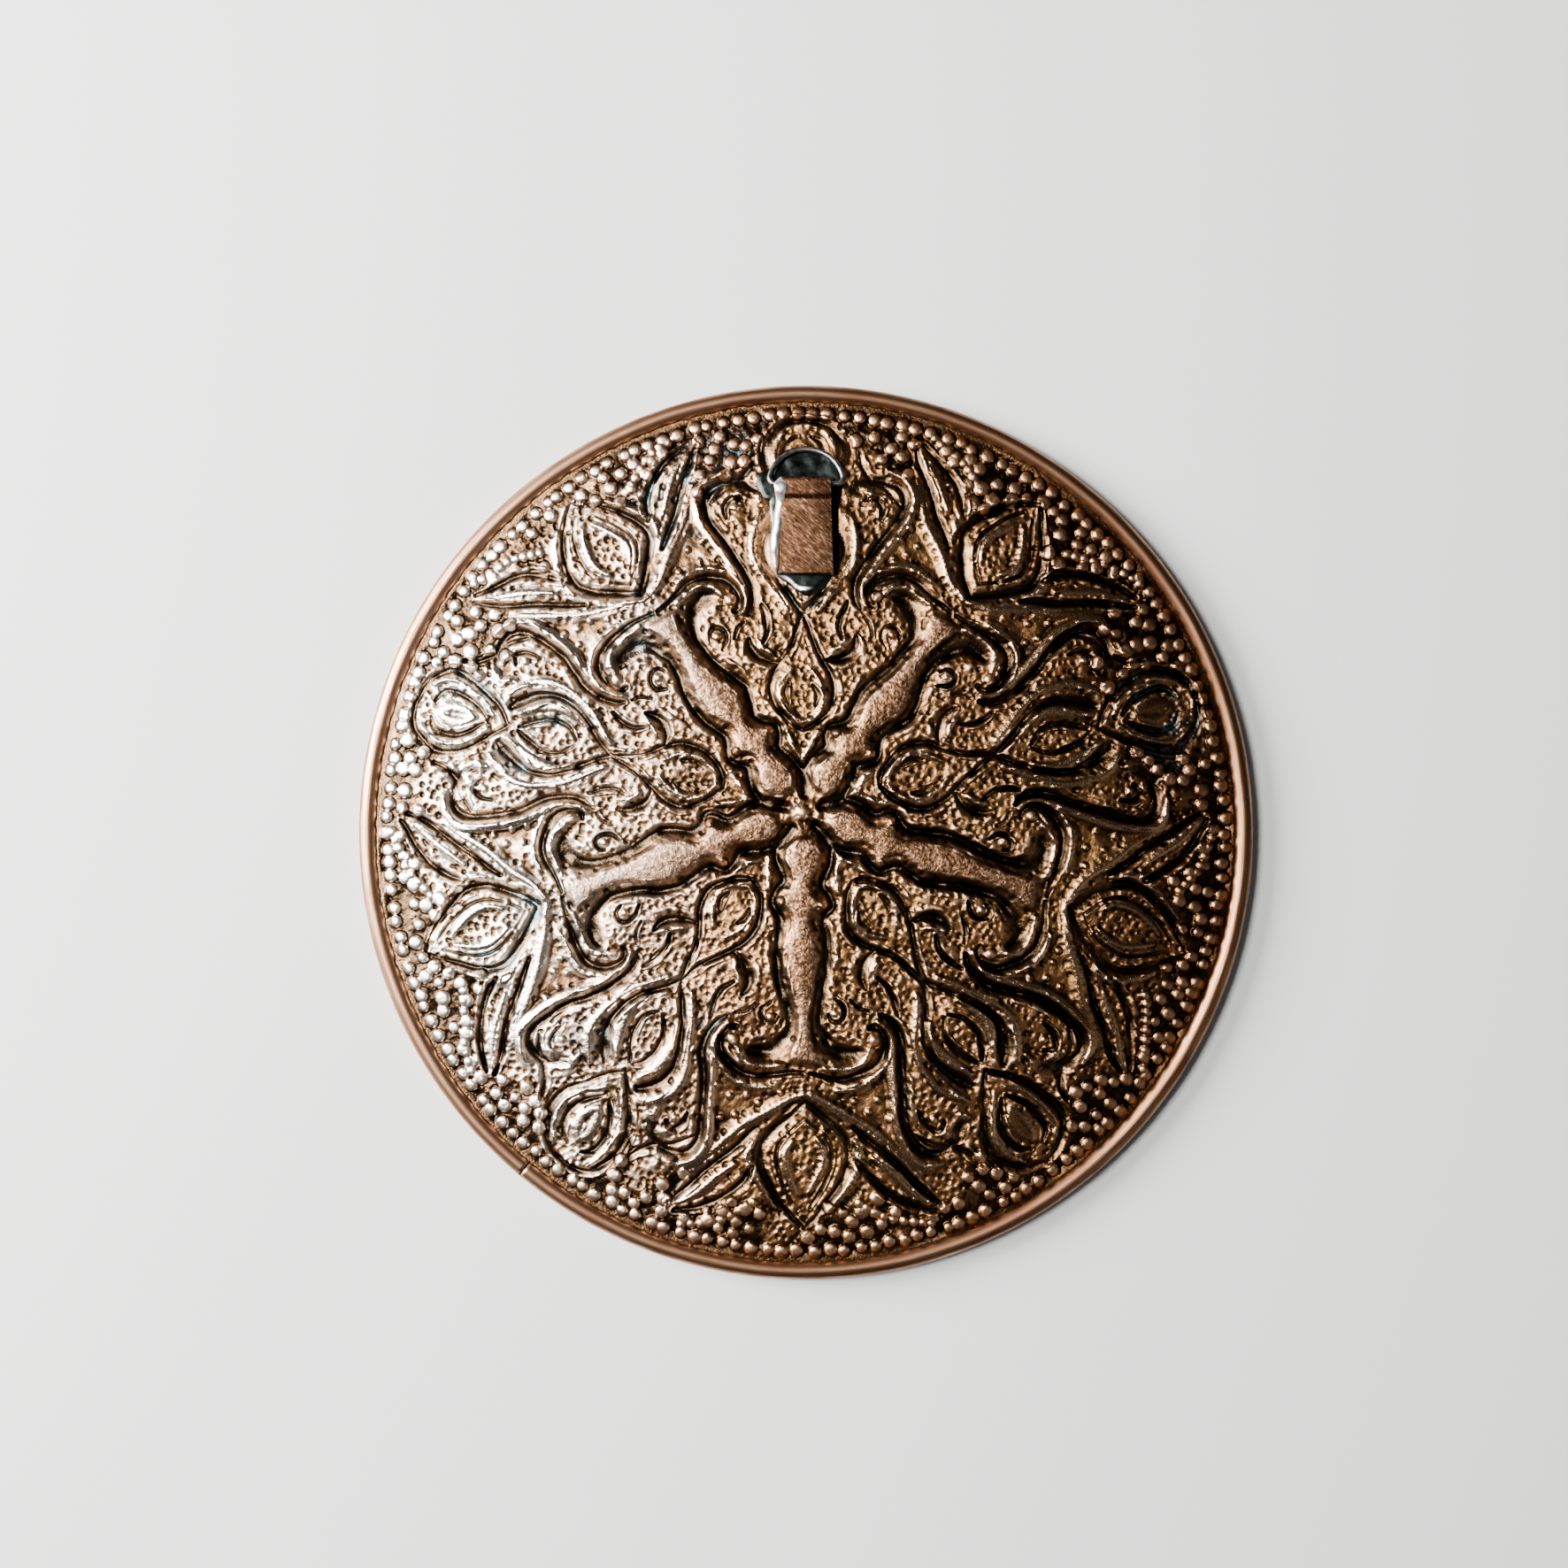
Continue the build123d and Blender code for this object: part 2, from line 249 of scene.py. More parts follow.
# Lines are (sideways, outwards, half width) from the hub along an arm, in millimetres, and outlines
# have no width. Each is turned round the arms and mirrored to both sides.
armOutline = [(0, 4.4), (1.9, 4.8), (3.3, 6.4), (3.6, 8.5), (2.9, 10.8), (2.1, 12.7), (2.7, 14.3),
              (4.0, 15.3), (4.0, 16.8), (2.6, 18.0), (2.0, 19.4), (2.8, 21.4), (3.6, 24.2), (3.6, 27.0),
              (3.0, 30.5), (2.2, 34.0), (1.9, 37.0), (2.2, 40.2), (3.0, 42.8), (3.3, 44.6), (1.6, 45.2)]
armTroughs = {
    "besideArm": [(2.5, 3.5, 1.2), (4.5, 6.0, 1.1), (4.8, 8.6, 1.0), (4.0, 11.0, 1.0), (3.5, 12.8, 0.9),
                  (4.7, 14.3, 0.85), (5.3, 16.2, 0.85), (4.0, 18.1, 0.9), (3.5, 19.6, 0.95),
                  (4.2, 22.0, 0.95), (4.9, 25.2, 1.0), (4.5, 28.6, 1.0), (3.7, 32.0, 1.0),
                  (3.2, 35.4, 1.0), (3.2, 38.2, 1.1), (4.5, 41.0, 1.5), (6.4, 42.7, 1.9),
                  (8.2, 43.0, 1.8), (9.6, 42.6, 1.2)],
    "volute": [(0.6, 46.4, 0.5), (2.8, 46.6, 0.6), (4.9, 46.9, 0.8), (8.4, 47.0, 1.1), (11.4, 46.1, 1.2),
               (13.6, 44.3, 1.2), (14.9, 42.0, 1.1), (14.8, 39.6, 0.9), (13.6, 38.0, 0.8),
               (12.2, 38.0, 0.7)],
    "arch": [(14.0, 36.0, 0.5), (15.8, 37.0, 1.0), (17.4, 39.4, 1.25), (18.2, 42.6, 1.3),
             (18.2, 46.6, 1.3), (18.4, 51.3, 1.3), (19.2, 56.0, 1.35), (20.8, 59.2, 1.35),
             (23.2, 60.4, 1.4), (26.0, 59.4, 1.6), (27.8, 57.0, 2.0), (28.6, 54.8, 1.5)],
    "junction": [(21.8, 29.9, 1.1), (21.9, 33.6, 0.9), (22.0, 37.6, 0.9), (22.4, 41.6, 0.9),
                 (23.6, 44.6, 1.0), (26.0, 46.8, 1.5), (28.8, 48.2, 1.9), (30.6, 48.6, 1.2)],
    "leafFrame": [(8.8, 12.3, 0.5), (7.7, 14.4, 0.8), (7.4, 17.0, 0.9), (7.6, 19.4, 1.0),
                  (8.8, 21.8, 1.1), (10.8, 23.6, 1.0), (13.0, 24.6, 0.9), (15.3, 25.5, 0.8),
                  (17.4, 26.7, 0.8), (19.4, 28.2, 0.9), (21.8, 30.0, 1.1)],
    "crescent": [(12.6, 24.9, 0.5), (11.2, 26.4, 1.2), (10.4, 28.4, 1.6), (10.5, 30.3, 1.3),
                 (11.5, 31.9, 0.5)],
    "aroundBud": [(0, 51.4, 1.2), (2.8, 53.6, 1.5), (5.8, 56.6, 1.6), (7.6, 59.6, 1.4), (7.6, 62.8, 1.2),
                  (6.2, 66.0, 1.0), (4.0, 69.4, 0.9), (1.8, 72.2, 0.7), (0, 73.8, 0.5)],
    "budEdge": [(0, 54.0, 0.4), (2.9, 56.6, 0.45), (4.6, 59.4, 0.5), (4.9, 62.2, 0.5), (4.1, 65.2, 0.45),
                (2.6, 68.2, 0.45), (1.0, 70.6, 0.35)],
    "wing": [(8.4, 55.9, 0.7), (11.2, 58.1, 1.0), (14.4, 60.3, 1.0), (18.0, 63.0, 0.9), (22.0, 66.0, 0.9),
             (25.0, 68.8, 0.6)],
    "underWing": [(9.4, 62.4, 0.8), (12.0, 65.4, 1.2), (15.4, 67.6, 1.1), (19.6, 69.2, 1.0),
                  (24.0, 70.2, 0.6)],
    "innerCurl": [(6.0, 33.4, 0.4), (7.6, 34.6, 0.6), (7.9, 36.3, 0.6), (6.9, 37.6, 0.6),
                  (5.5, 37.5, 0.5), (4.9, 36.4, 0.4)],
    "fan": [(9.0, 33.6, 0.35), (10.6, 35.0, 0.45), (12.4, 35.4, 0.4)],
    "sprig": [(13.2, 29.8, 0.4), (15.2, 31.2, 0.7), (16.4, 33.6, 0.8), (16.8, 36.0, 0.5)],
    "outerCurl": [(21.4, 53.2, 0.4), (22.6, 55.6, 0.8), (24.6, 56.4, 0.7), (25.6, 54.8, 0.5)],
}
armRidges = {
    "footCrest": [(3.6, 45.3, 0.5), (6.4, 45.3, 0.65), (9.6, 44.8, 0.75), (11.7, 43.3, 0.8),
                  (12.4, 41.4, 0.7)],
    "archRidge": [(13.4, 36.9, 0.5), (15.6, 39.4, 0.85), (16.3, 42.6, 0.95), (16.4, 47.0, 0.95),
                  (16.7, 52.0, 0.95), (17.6, 56.6, 1.0), (19.2, 60.4, 1.0), (22.4, 62.3, 0.9),
                  (25.6, 61.8, 0.6)],
    "wingRidge": [(0.5, 49.8, 0.6), (4.3, 51.4, 0.8), (8.0, 53.7, 0.9), (11.8, 56.0, 0.9),
                  (15.2, 58.2, 0.9), (18.2, 60.8, 0.8), (21.4, 63.4, 0.6)],
    "budRidge": [(2.0, 57.6, 0.4), (3.3, 60.0, 0.75), (3.3, 62.6, 0.8), (2.2, 65.6, 0.7),
                 (0.9, 68.0, 0.4)],
    "leafRidge": [(9.0, 58.6, 0.5), (10.2, 60.8, 0.7), (9.4, 63.6, 0.7), (7.4, 66.8, 0.7),
                  (5.2, 69.8, 0.6)],
    "underRidge": [(12.4, 61.6, 0.5), (15.8, 63.9, 0.8), (19.6, 66.6, 0.8), (23.2, 68.6, 0.5)],
    "crescentRidge": [(13.0, 27.2, 0.5), (12.4, 28.8, 0.7), (12.8, 30.4, 0.6)],
    "junctionRidge": [(20.2, 32.0, 0.5), (20.2, 36.0, 0.7), (20.3, 40.4, 0.8), (21.2, 45.0, 0.8),
                      (23.6, 48.4, 0.9), (26.8, 50.4, 0.9), (29.4, 51.0, 0.6)],
    "voluteRidge": [(6.0, 48.8, 0.5), (9.8, 48.6, 0.65), (13.2, 47.2, 0.7), (15.2, 45.0, 0.5)],
}
# The same from the hub along the line between two arms
betweenTroughs = {
    "bigLeaf": [(0, 56.4, 0.8), (2.6, 58.8, 0.9), (5.0, 62.0, 1.1), (7.0, 65.8, 1.3), (7.6, 69.6, 1.4),
                (5.8, 72.8, 1.3), (3.2, 75.0, 1.0), (0, 75.8, 0.8)],
    "leafCore": [(0.6, 61.4, 0.4), (2.6, 64.0, 0.8), (3.8, 67.4, 0.9), (3.4, 70.6, 0.8),
                 (1.4, 72.0, 0.4)],
    "ribbon": [(9.8, 69.0, 0.6), (10.6, 66.0, 1.0), (12.4, 63.6, 1.2), (15.0, 62.0, 1.0),
               (17.2, 59.0, 0.7)],
    "hubCorner": [(0.0, 3.6, 1.6), (0.0, 5.6, 1.3), (0.0, 7.6, 0.5)],
    "fingerGap": [(0.4, 44.0, 0.4), (2.2, 46.4, 0.6), (2.6, 49.6, 0.8), (1.6, 52.6, 0.8),
                  (0.4, 54.4, 0.5)],
    "budScoop": [(2.4, 19.8, 0.4), (2.9, 21.6, 0.8), (2.2, 23.4, 0.4)],
}
betweenRidges = {
    "finger": [(3.6, 43.0, 0.6), (4.9, 45.8, 1.1), (5.2, 49.2, 1.3), (4.2, 52.6, 1.1), (2.8, 55.4, 0.6)],
    "leafRim": [(1.2, 60.0, 0.4), (4.0, 63.2, 0.7), (5.6, 67.0, 0.8), (5.6, 70.6, 0.8), (4.2, 73.4, 0.6)],
    "leafHeart": [(0.0, 63.6, 0.5), (1.2, 66.0, 1.1), (1.2, 68.6, 1.1), (0.0, 70.6, 0.6)],
    "hubVee": [(0.0, 9.4, 0.5), (1.6, 12.4, 0.7), (3.2, 15.0, 0.5)],
    "budRib": [(0.0, 16.4, 0.4), (2.6, 18.0, 0.6), (3.8, 20.8, 0.7), (3.4, 24.0, 0.6), (1.6, 26.6, 0.4)],
    "hook": [(8.2, 58.4, 0.5), (8.8, 61.2, 0.9), (10.8, 62.4, 0.9), (13.0, 60.4, 0.7)],
}
sunkGround = [(0.5, 48.2), (6.0, 49.6), (11.6, 49.2), (15.2, 46.6), (15.8, 51.0), (16.2, 56.4),
              (12.6, 55.0), (8.2, 52.4), (4.2, 50.2)]
budField = [(0, 52.0), (4.6, 55.6), (7.6, 60.0), (6.8, 65.0), (3.6, 70.0), (0, 74.0)]
leafField = [(0, 56.4), (4.8, 61.0), (8.0, 66.0), (8.4, 71.0), (6.0, 75.0), (0, 77.0)]
wingField = [(7.6, 56.4), (11.6, 56.4), (17.0, 60.0), (21.4, 63.4), (25.4, 68.6), (24.4, 71.0),
             (17.0, 69.8), (11.0, 66.8), (8.4, 62.6)]
armField = [(0, 3), (4.4, 6), (4.4, 20), (5, 26), (3, 40), (6, 45)]
chasing = {
    "armSlope": 1.3, "armCrown": 0.35,  # width of an arm's flank, and how round it is on top
    "sunkSlope": 0.9, "calmSlope": 0.3,
    "armTrough": 0.85, "betweenTrough": 0.75,  # depths and heights as shares of the ones in plate
    "armRidge": 0.62, "betweenRidge": 0.55,
    "troughs": {"besideArm": 1.0, "budEdge": 0.6, "fan": 0.7, "hubCorner": 1.0, "budScoop": 0.6},
    "smoothRidges": {"archRidge": 0.85, "finger": 0.72},
    "notch": 0.2,  # how deep the punch marks bite into every other ridge
}


def mirrored(points):
    return points + [(-u, v) for u, v in reversed(points) if u > 0.6]


def chaseLines(troughs, ridges, arm, side, depth, height):
    for name, points in troughs.items():
        width = 1.0 if name == "besideArm" else plate["lineWidth"]
        trough(points, arm, side, chasing["troughs"].get(name, depth), width)
    for name, points in ridges.items():
        notch = 0.0 if name in chasing["smoothRidges"] else chasing["notch"]
        ridge(points, arm, side, chasing["smoothRidges"].get(name, height), notch)


for arm in range(plate["arms"]):
    area("arm", mirrored(armOutline), arm, 1, chasing["armSlope"], chasing["armCrown"])
    area("calm", mirrored(budField), arm, 1, chasing["calmSlope"])
    area("calm", mirrored(armField), arm, 1, chasing["calmSlope"])
    area("calm", mirrored(leafField), arm + 0.5, 1, chasing["calmSlope"])
    for side in (1, -1):
        area("sunk", sunkGround, arm, side, chasing["sunkSlope"])
        area("calm", wingField, arm, side, chasing["calmSlope"])
        chaseLines(armTroughs, armRidges, arm, side, chasing["armTrough"], chasing["armRidge"])
        chaseLines(betweenTroughs, betweenRidges, arm + 0.5, side, chasing["betweenTrough"],
                   chasing["betweenRidge"])
print("lines chased")


def unevenField(width):
    field = softened(dice.standard_normal(mapShape), width)
    return field / field.std()


def scatter(count, inner, outer, apart, allowed):
    # spots in a ring between two radii, none nearer together than apart
    spots = dice.uniform(-outer, outer, (count, 2))
    far = np.hypot(*spots.T)
    spots = spots[(far > inner) & (far < outer) & allowed(*spots.T)]
    kept = []
    for spot in spots:
        if not kept or np.hypot(*(np.array(kept) - spot).T).min() > apart:
            kept.append(spot)
    return np.array(kept).T


beads = {
    "round": 0.6, "blunt": 3.0,  # how steep the sides are, and how flat the top
    "edgeCount": 174, "edgeRing": 77.2, "edgeSize": (1.15, 1.45), "edgeHeight": (0.75, 1.0),
    "clusterFrom": 58.0, "clusterTries": 14000, "clusterApart": 2.25,
    "clusterSize": (1.1, 1.55), "clusterHeight": (0.65, 1.05),
    "groundBand": (44.0, 62.0), "groundTries": 12000, "groundApart": 2.3,
    "groundSize": (0.6, 0.8), "groundHeight": (0.5, 0.7),
    "rowApart": 2.15, "rowSize": (0.95, 1.15),
    "rowUnderWing": [(9.6, 69.0), (12.6, 70.4), (16.0, 71.6), (19.6, 72.2), (23.0, 72.6)],
    # single beads beside an arm: sideways, outwards, size
    "single": [(12.9, 40.0, 1.15), (6.3, 36.1, 0.8), (23.9, 54.3, 0.8), (3.0, 56.6, 0.6),
               (3.7, 16.1, 0.9)],
    "hubSize": 1.5, "hubHeight": 0.8,
}


def edgeBeads():
    count = beads["edgeCount"]
    turns = (np.arange(count) + dice.uniform(-0.2, 0.2, count)) * 2 * math.pi / count
    radius = beads["edgeRing"] + dice.uniform(-0.3, 0.3, count)
    x, y = radius * np.cos(turns), radius * np.sin(turns)
    sizes = dice.uniform(*beads["edgeSize"], count)
    heights = dice.uniform(*beads["edgeHeight"], count)
    stamp("bead", x, y, sizes, heights, beads["round"], beads["blunt"])


def clusterBeads():
    def allowed(x, y):
        return readMap(border, x, y) > 0.5
    outer = beads["edgeRing"] - 2.0
    x, y = scatter(beads["clusterTries"], beads["clusterFrom"], outer, beads["clusterApart"], allowed)
    sizes = dice.uniform(*beads["clusterSize"], len(x))
    heights = dice.uniform(*beads["clusterHeight"], len(x))
    stamp("bead", x, y, sizes, heights, beads["round"], beads["blunt"])


def groundBeads():
    def allowed(x, y):
        return (readMap(layers["sunk"], x, y) > 0.55) & (readMap(layers["trough"], x, y) < 0.4)
    x, y = scatter(beads["groundTries"], *beads["groundBand"], beads["groundApart"], allowed)
    sizes = dice.uniform(*beads["groundSize"], len(x))
    heights = dice.uniform(*beads["groundHeight"], len(x))
    stamp("bead", x, y, sizes, heights, beads["round"])


def placedBeads():
    row = curveThrough(beads["rowUnderWing"], beads["rowApart"])
    single = np.array(beads["single"])
    spots = np.vstack([row, single[:, :2]])
    for arm in range(plate["arms"]):
        for side in (1, -1):
            turned = onArm(spots, arm, side)
            sizes = np.r_[dice.uniform(*beads["rowSize"], len(row)), single[:, 2]]
            stamp("bead", turned[:, 0], turned[:, 1], sizes, sizes * 0.85, 0.55)
    hubX, hubY = plate["hubShift"]
    stamp("bead", np.array([hubX]), np.array([hubY]), np.array([beads["hubSize"]]),
          np.array([beads["hubHeight"]]), beads["round"])


def pitLattice():
    step = plate["pitSpacing"]
    rows = np.arange(-80, 80, step * 0.87)  # rows of a triangular lattice, shaken up below
    cols = np.arange(-80, 80, step)
    gx, gy = np.meshgrid(cols, rows)
    gx = gx + (np.arange(len(rows)) % 2)[:, None] * step / 2 + 3.0 * np.sin(gy / 23)
    gy = gy + 3.0 * np.sin(gx / 19)
    gx = gx + dice.uniform(-0.36, 0.36, gx.shape) * step
    gy = gy + dice.uniform(-0.36, 0.36, gy.shape) * step
    return gx.ravel(), gy.ravel()


def strikePits():
    x, y = pitLattice()
    free = (readMap(border, x, y) < 0.5) & (np.hypot(x, y) < 75)
    for name, limit in (("trough", 0.15), ("raised", 0.2), ("arm", 0.1), ("bead", 0.05), ("sunk", 0.6)):
        free &= readMap(layers[name], x, y) < limit
    x, y = x[free], y[free]
    sizes = plate["pitRadius"] * dice.uniform(0.75, 1.2, len(x))
    stamp("pit", x, y, sizes, dice.uniform(0.45, 1.0, len(x)), 0.8)


distance = np.hypot(cellLine[None, :], cellLine[:, None])  # of each cell from the middle of the disc
border = smoothStep(0.5 + unevenField(3.0) * 0.5 + (distance - plate["borderFrom"]) * 0.11)
border *= (1 - smoothStep(layers["trough"] * 3)) * (1 - smoothStep(layers["calm"] * 2)) * (distance > 60)
edgeBeads()
clusterBeads()
groundBeads()
placedBeads()
strikePits()
print("beads and pits struck")

hangerPatch = {"halfWidth": 9.2, "low": 43.5, "high": 73.5, "soft": 2.6}


def besideHanger():
    # soft rectangle over the strap and the ring, where the ornament was pressed flat and soldered over
    x, y = cellLine[None, :], cellLine[:, None]
    across = smoothStep((hangerPatch["halfWidth"] - np.abs(x)) / hangerPatch["soft"])
    along = smoothStep((y - hangerPatch["low"]) / hangerPatch["soft"])
    return across * along * smoothStep((hangerPatch["high"] - y) / hangerPatch["soft"])


pressed = besideHanger()
layers["bead"] *= 1 - smoothStep(pressed * 3)
openGround = 1 - smoothStep(layers["trough"] * 1.6)  # none in a trough
roughness = openGround * (1 - smoothStep((layers["raised"] + layers["arm"]) * 2.2))
roughness *= 1 - smoothStep(layers["bead"] * 2)
raised = softened(layers["raised"], 0.22)
armBody = softened(layers["arm"], 0.2)
notches = 0.72 + 0.42 * unevenField(0.45)  # the punch leaves the lip of a trough ragged
pillow = detailOf(layers["trough"], 1.7, 7.0)
relief = (plate["lipHeight"] * layers["lip"] * openGround * notches
          - plate["troughDepth"] * layers["trough"] * (1 + 0.16 * unevenField(5.0) + 0.2 * unevenField(0.8))
          + plate["raisedHeight"] * raised + plate["armHeight"] * armBody
          - plate["pillow"] * pillow
          - plate["pitDepth"] * layers["pit"] * openGround
          - plate["sunkDepth"] * np.maximum(layers["sunk"] * openGround, border * 0.8)
          + plate["beadHeight"] * layers["bead"]
          + roughness * (0.035 * unevenField(0.32) + 0.07 * unevenField(0.9) + 0.13 * unevenField(1.8))
          + 0.1 * unevenField(4.0) + 0.012 * unevenField(0.35) + 0.03 * unevenField(0.6) * armBody)
relief = relief * (1 - 0.7 * pressed)
tooHigh = np.maximum(relief - 0.25, 0)  # to lie under the strap
relief = relief - tooHigh * smoothStep(pressed * 2)
relief *= smoothStep((plate["domeRadius"] + 0.3 - distance) / 1.4)
relief = relief.astype(np.float32)
print("relief raised")


def roundSpot(x, y, middleX, middleY, wide, tall):
    # one in its middle, fading to nothing around
    return np.exp(-(((x - middleX) / wide) ** 2 + ((y - middleY) / tall) ** 2))


# painted shadow on the ground between the beads of the border, added into recess below
shadowBetweenBeads = border * (1 - smoothStep(layers["bead"] * 2.5)) * (1 - pressed)
# recess drives the plate's colour: grime in the hollows together with painted shade in pits, troughs and
# between the border beads
recess = 0.5 - 0.95 * detailOf(relief, 0.12, 1.3)  # half on level metal, one in a pit
recess = np.clip(recess + 0.4 * layers["pit"] * openGround + 0.2 * shadowBetweenBeads, 0, 1)
tarnish = {
    "strength": 0.65,
    # green spots: place across and along, spread across and along
    "spots": [(-21, 66, 6, 4), (-13, 70, 5, 3), (-29, 62, 4, 3), (-24, 55, 4, 4), (66, 20, 5, 6),
              (62, 26, 3, 3), (-53, 12, 5, 3), (-46, 22, 4, 3), (-49, -14, 5, 5), (-30, 38, 3, 5),
              (-62, 26, 6, 3), (0, 44, 3, 3), (-42, -38, 5, 4), (-17, -34, 3, 2), (-58, -22, 4, 3)],
}
verdigris = np.zeros(mapShape, np.float32)
for px, py, wide, tall in tarnish["spots"]:
    verdigris = np.maximum(verdigris, roundSpot(cellLine[None, :], cellLine[:, None], px, py, wide, tall))
verdigris = tarnish["strength"] * verdigris * smoothStep((recess - 0.45) * 4)
struck = np.clip(roughness + 0.9 * armBody, 0, 1) * (1 - smoothStep(border * 1.2))
surface = (relief + domeHeight(distance)).astype(np.float32)
slopeY, slopeX = np.gradient(surface, plate["cell"])
# steep slopes, which the plate's colour darkens as painted shade
steep = smoothStep((np.hypot(slopeX, slopeY) - 0.6) / 0.5) * (1 - smoothStep(layers["bead"] * 3))
print("relief mapped")


def paintAttribute(mesh, name, values):
    layer = mesh.attributes.new(name, "FLOAT", "POINT")
    layer.data.foreach_set("value", np.asarray(values, np.float32))


def pointsOf(mesh):
    flat = np.empty(len(mesh.vertices) * 3, np.float32)
    mesh.vertices.foreach_get("co", flat)
    return flat.reshape(-1, 3)


def placePoints(mesh, points):
    mesh.vertices.foreach_set("co", np.asarray(points, np.float32).ravel())
    mesh.update()


def addPiece(name, mesh, material, body, node):
    mesh.polygons.foreach_set("use_smooth", np.ones(len(mesh.polygons), bool))
    mesh.materials.append(material)
    piece = bpy.data.objects.new(name, mesh)
    bpy.context.scene.collection.objects.link(piece)
    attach(piece, body)
    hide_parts(node)


def vertsIn(geom):
    return [item for item in geom if isinstance(item, bmesh.types.BMVert)]


def edgesIn(geom):
    return [item for item in geom if isinstance(item, bmesh.types.BMEdge)]


def meshFrom(bm, name):
    bmesh.ops.scale(bm, vec=(mm, mm, mm), verts=bm.verts)
    mesh = bpy.data.meshes.new(name)
    bm.to_mesh(mesh)
    bm.free()
    return mesh


def startMaterial(name, **sockets):
    material = bpy.data.materials.new(name)
    material.use_nodes = True
    tree = material.node_tree
    shader = tree.nodes["Principled BSDF"]
    for label, value in sockets.items():
        shader.inputs[label.replace("_", " ")].default_value = value
    return material, tree, shader


def addNode(tree, kind, values=(), **settings):
    node = tree.nodes.new(kind)
    for label, value in settings.items():
        setattr(node, label, value)
    for key, value in dict(values).items():
        node.inputs[key].default_value = value
    return node


def link(tree, out, into):
    tree.links.new(out, into)


def objectCoords(tree):
    return addNode(tree, "ShaderNodeTexCoord").outputs["Object"]


def noise(tree, vector, scale, detail, roughness):
    node = addNode(tree, "ShaderNodeTexNoise", {"Scale": scale, "Detail": detail, "Roughness": roughness})
    link(tree, vector, node.inputs["Vector"])
    return node.outputs["Fac"]


def ramp(tree, value, stops):
    node = addNode(tree, "ShaderNodeValToRGB")
    cells = node.color_ramp.elements
    while len(cells) < len(stops):
        cells.new(0.5)
    for cell, (place, shade) in zip(cells, stops):
        cell.position = place
        cell.color = (*shade, 1)
    link(tree, value, node.inputs["Fac"])
    return node.outputs["Color"]


def spread(tree, value, low, high, outLow=0.0, outHigh=1.0):
    node = addNode(tree, "ShaderNodeMapRange", {1: low, 2: high, 3: outLow, 4: outHigh})
    link(tree, value, node.inputs["Value"])
    return node.outputs["Result"]


def blendColours(tree, factor, first, second, mode="MIX"):
    node = addNode(tree, "ShaderNodeMix", data_type="RGBA", blend_type=mode)
    sockets = (node.inputs["Factor"], node.inputs["A"], node.inputs["B"])
    for source, socket in zip((factor, first, second), sockets):
        if isinstance(source, tuple):
            socket.default_value = (*source, 1)
        elif isinstance(source, float):
            socket.default_value = source
        else:
            link(tree, source, socket)
    return node.outputs["Result"]


def maths(tree, operation, first, second):
    node = addNode(tree, "ShaderNodeMath", operation=operation)
    for source, socket in ((first, node.inputs[0]), (second, node.inputs[1])):
        if isinstance(source, (int, float)):
            socket.default_value = source
        else:
            link(tree, source, socket)
    return node.outputs[0]


def times(tree, first, second):
    return maths(tree, "MULTIPLY", first, second)


def plus(tree, first, second):
    return maths(tree, "ADD", first, second)


def centred(tree, value, amount):
    # a noise turned into plus and minus half the amount
    return times(tree, maths(tree, "SUBTRACT", value, 0.5), amount)


def readAttribute(tree, name):
    return addNode(tree, "ShaderNodeAttribute", attribute_name=name).outputs["Fac"]


def addBump(tree, shader, height, distance, strength):
    bump = addNode(tree, "ShaderNodeBump", {"Strength": strength, "Distance": distance})
    link(tree, height, bump.inputs["Height"])
    link(tree, bump.outputs["Normal"], shader.inputs["Normal"])


def litToShadedSide(tree, place):
    # painted light and shade across the disc, 0 on its lit side to 1 on its shaded side
    parts = addNode(tree, "ShaderNodeSeparateXYZ")
    link(tree, place, parts.inputs["Vector"])
    return spread(tree, parts.outputs["X"], -0.075, 0.085)


plateTints = {
    "body": [(0.3, (0.32, 0.17, 0.09)), (0.52, (0.42, 0.235, 0.125)), (0.7, (0.39, 0.23, 0.11))],
    # painted highlight: the raised metal away from the hollows is lightened
    "edges": (0.72, 0.5, 0.35),
    "brushed": [(0.42, (0.07, 0.038, 0.025)), (0.5, (0.24, 0.13, 0.078)), (0.6, (0.6, 0.37, 0.26))],
    # painted highlight on the tops of the beads
    "litBeadTops": (0.64, 0.42, 0.29),
    # trough floors: partly their grey-brown patina and partly painted shade
    "troughs": (0.10, 0.08, 0.06),
    # painted shade on steep flanks
    "shadedFlanks": (0.12, 0.09, 0.065),
    # grime in the hollows together with painted shade in pits, troughs and between the border beads
    "grimeAndShade": (0.045, 0.034, 0.025),
    # painted light and shade laid over all of it, from the lit side of the disc to the shaded one
    "sideShading": [(0.0, (1.1, 1.1, 1.1)), (0.5, (0.85, 0.81, 0.74)), (1.0, (0.42, 0.36, 0.3))],
    # painted glare on the lit side of the disc
    "sideGlare": (0.93, 0.84, 0.74),
    "green": (0.14, 0.24, 0.27),
}


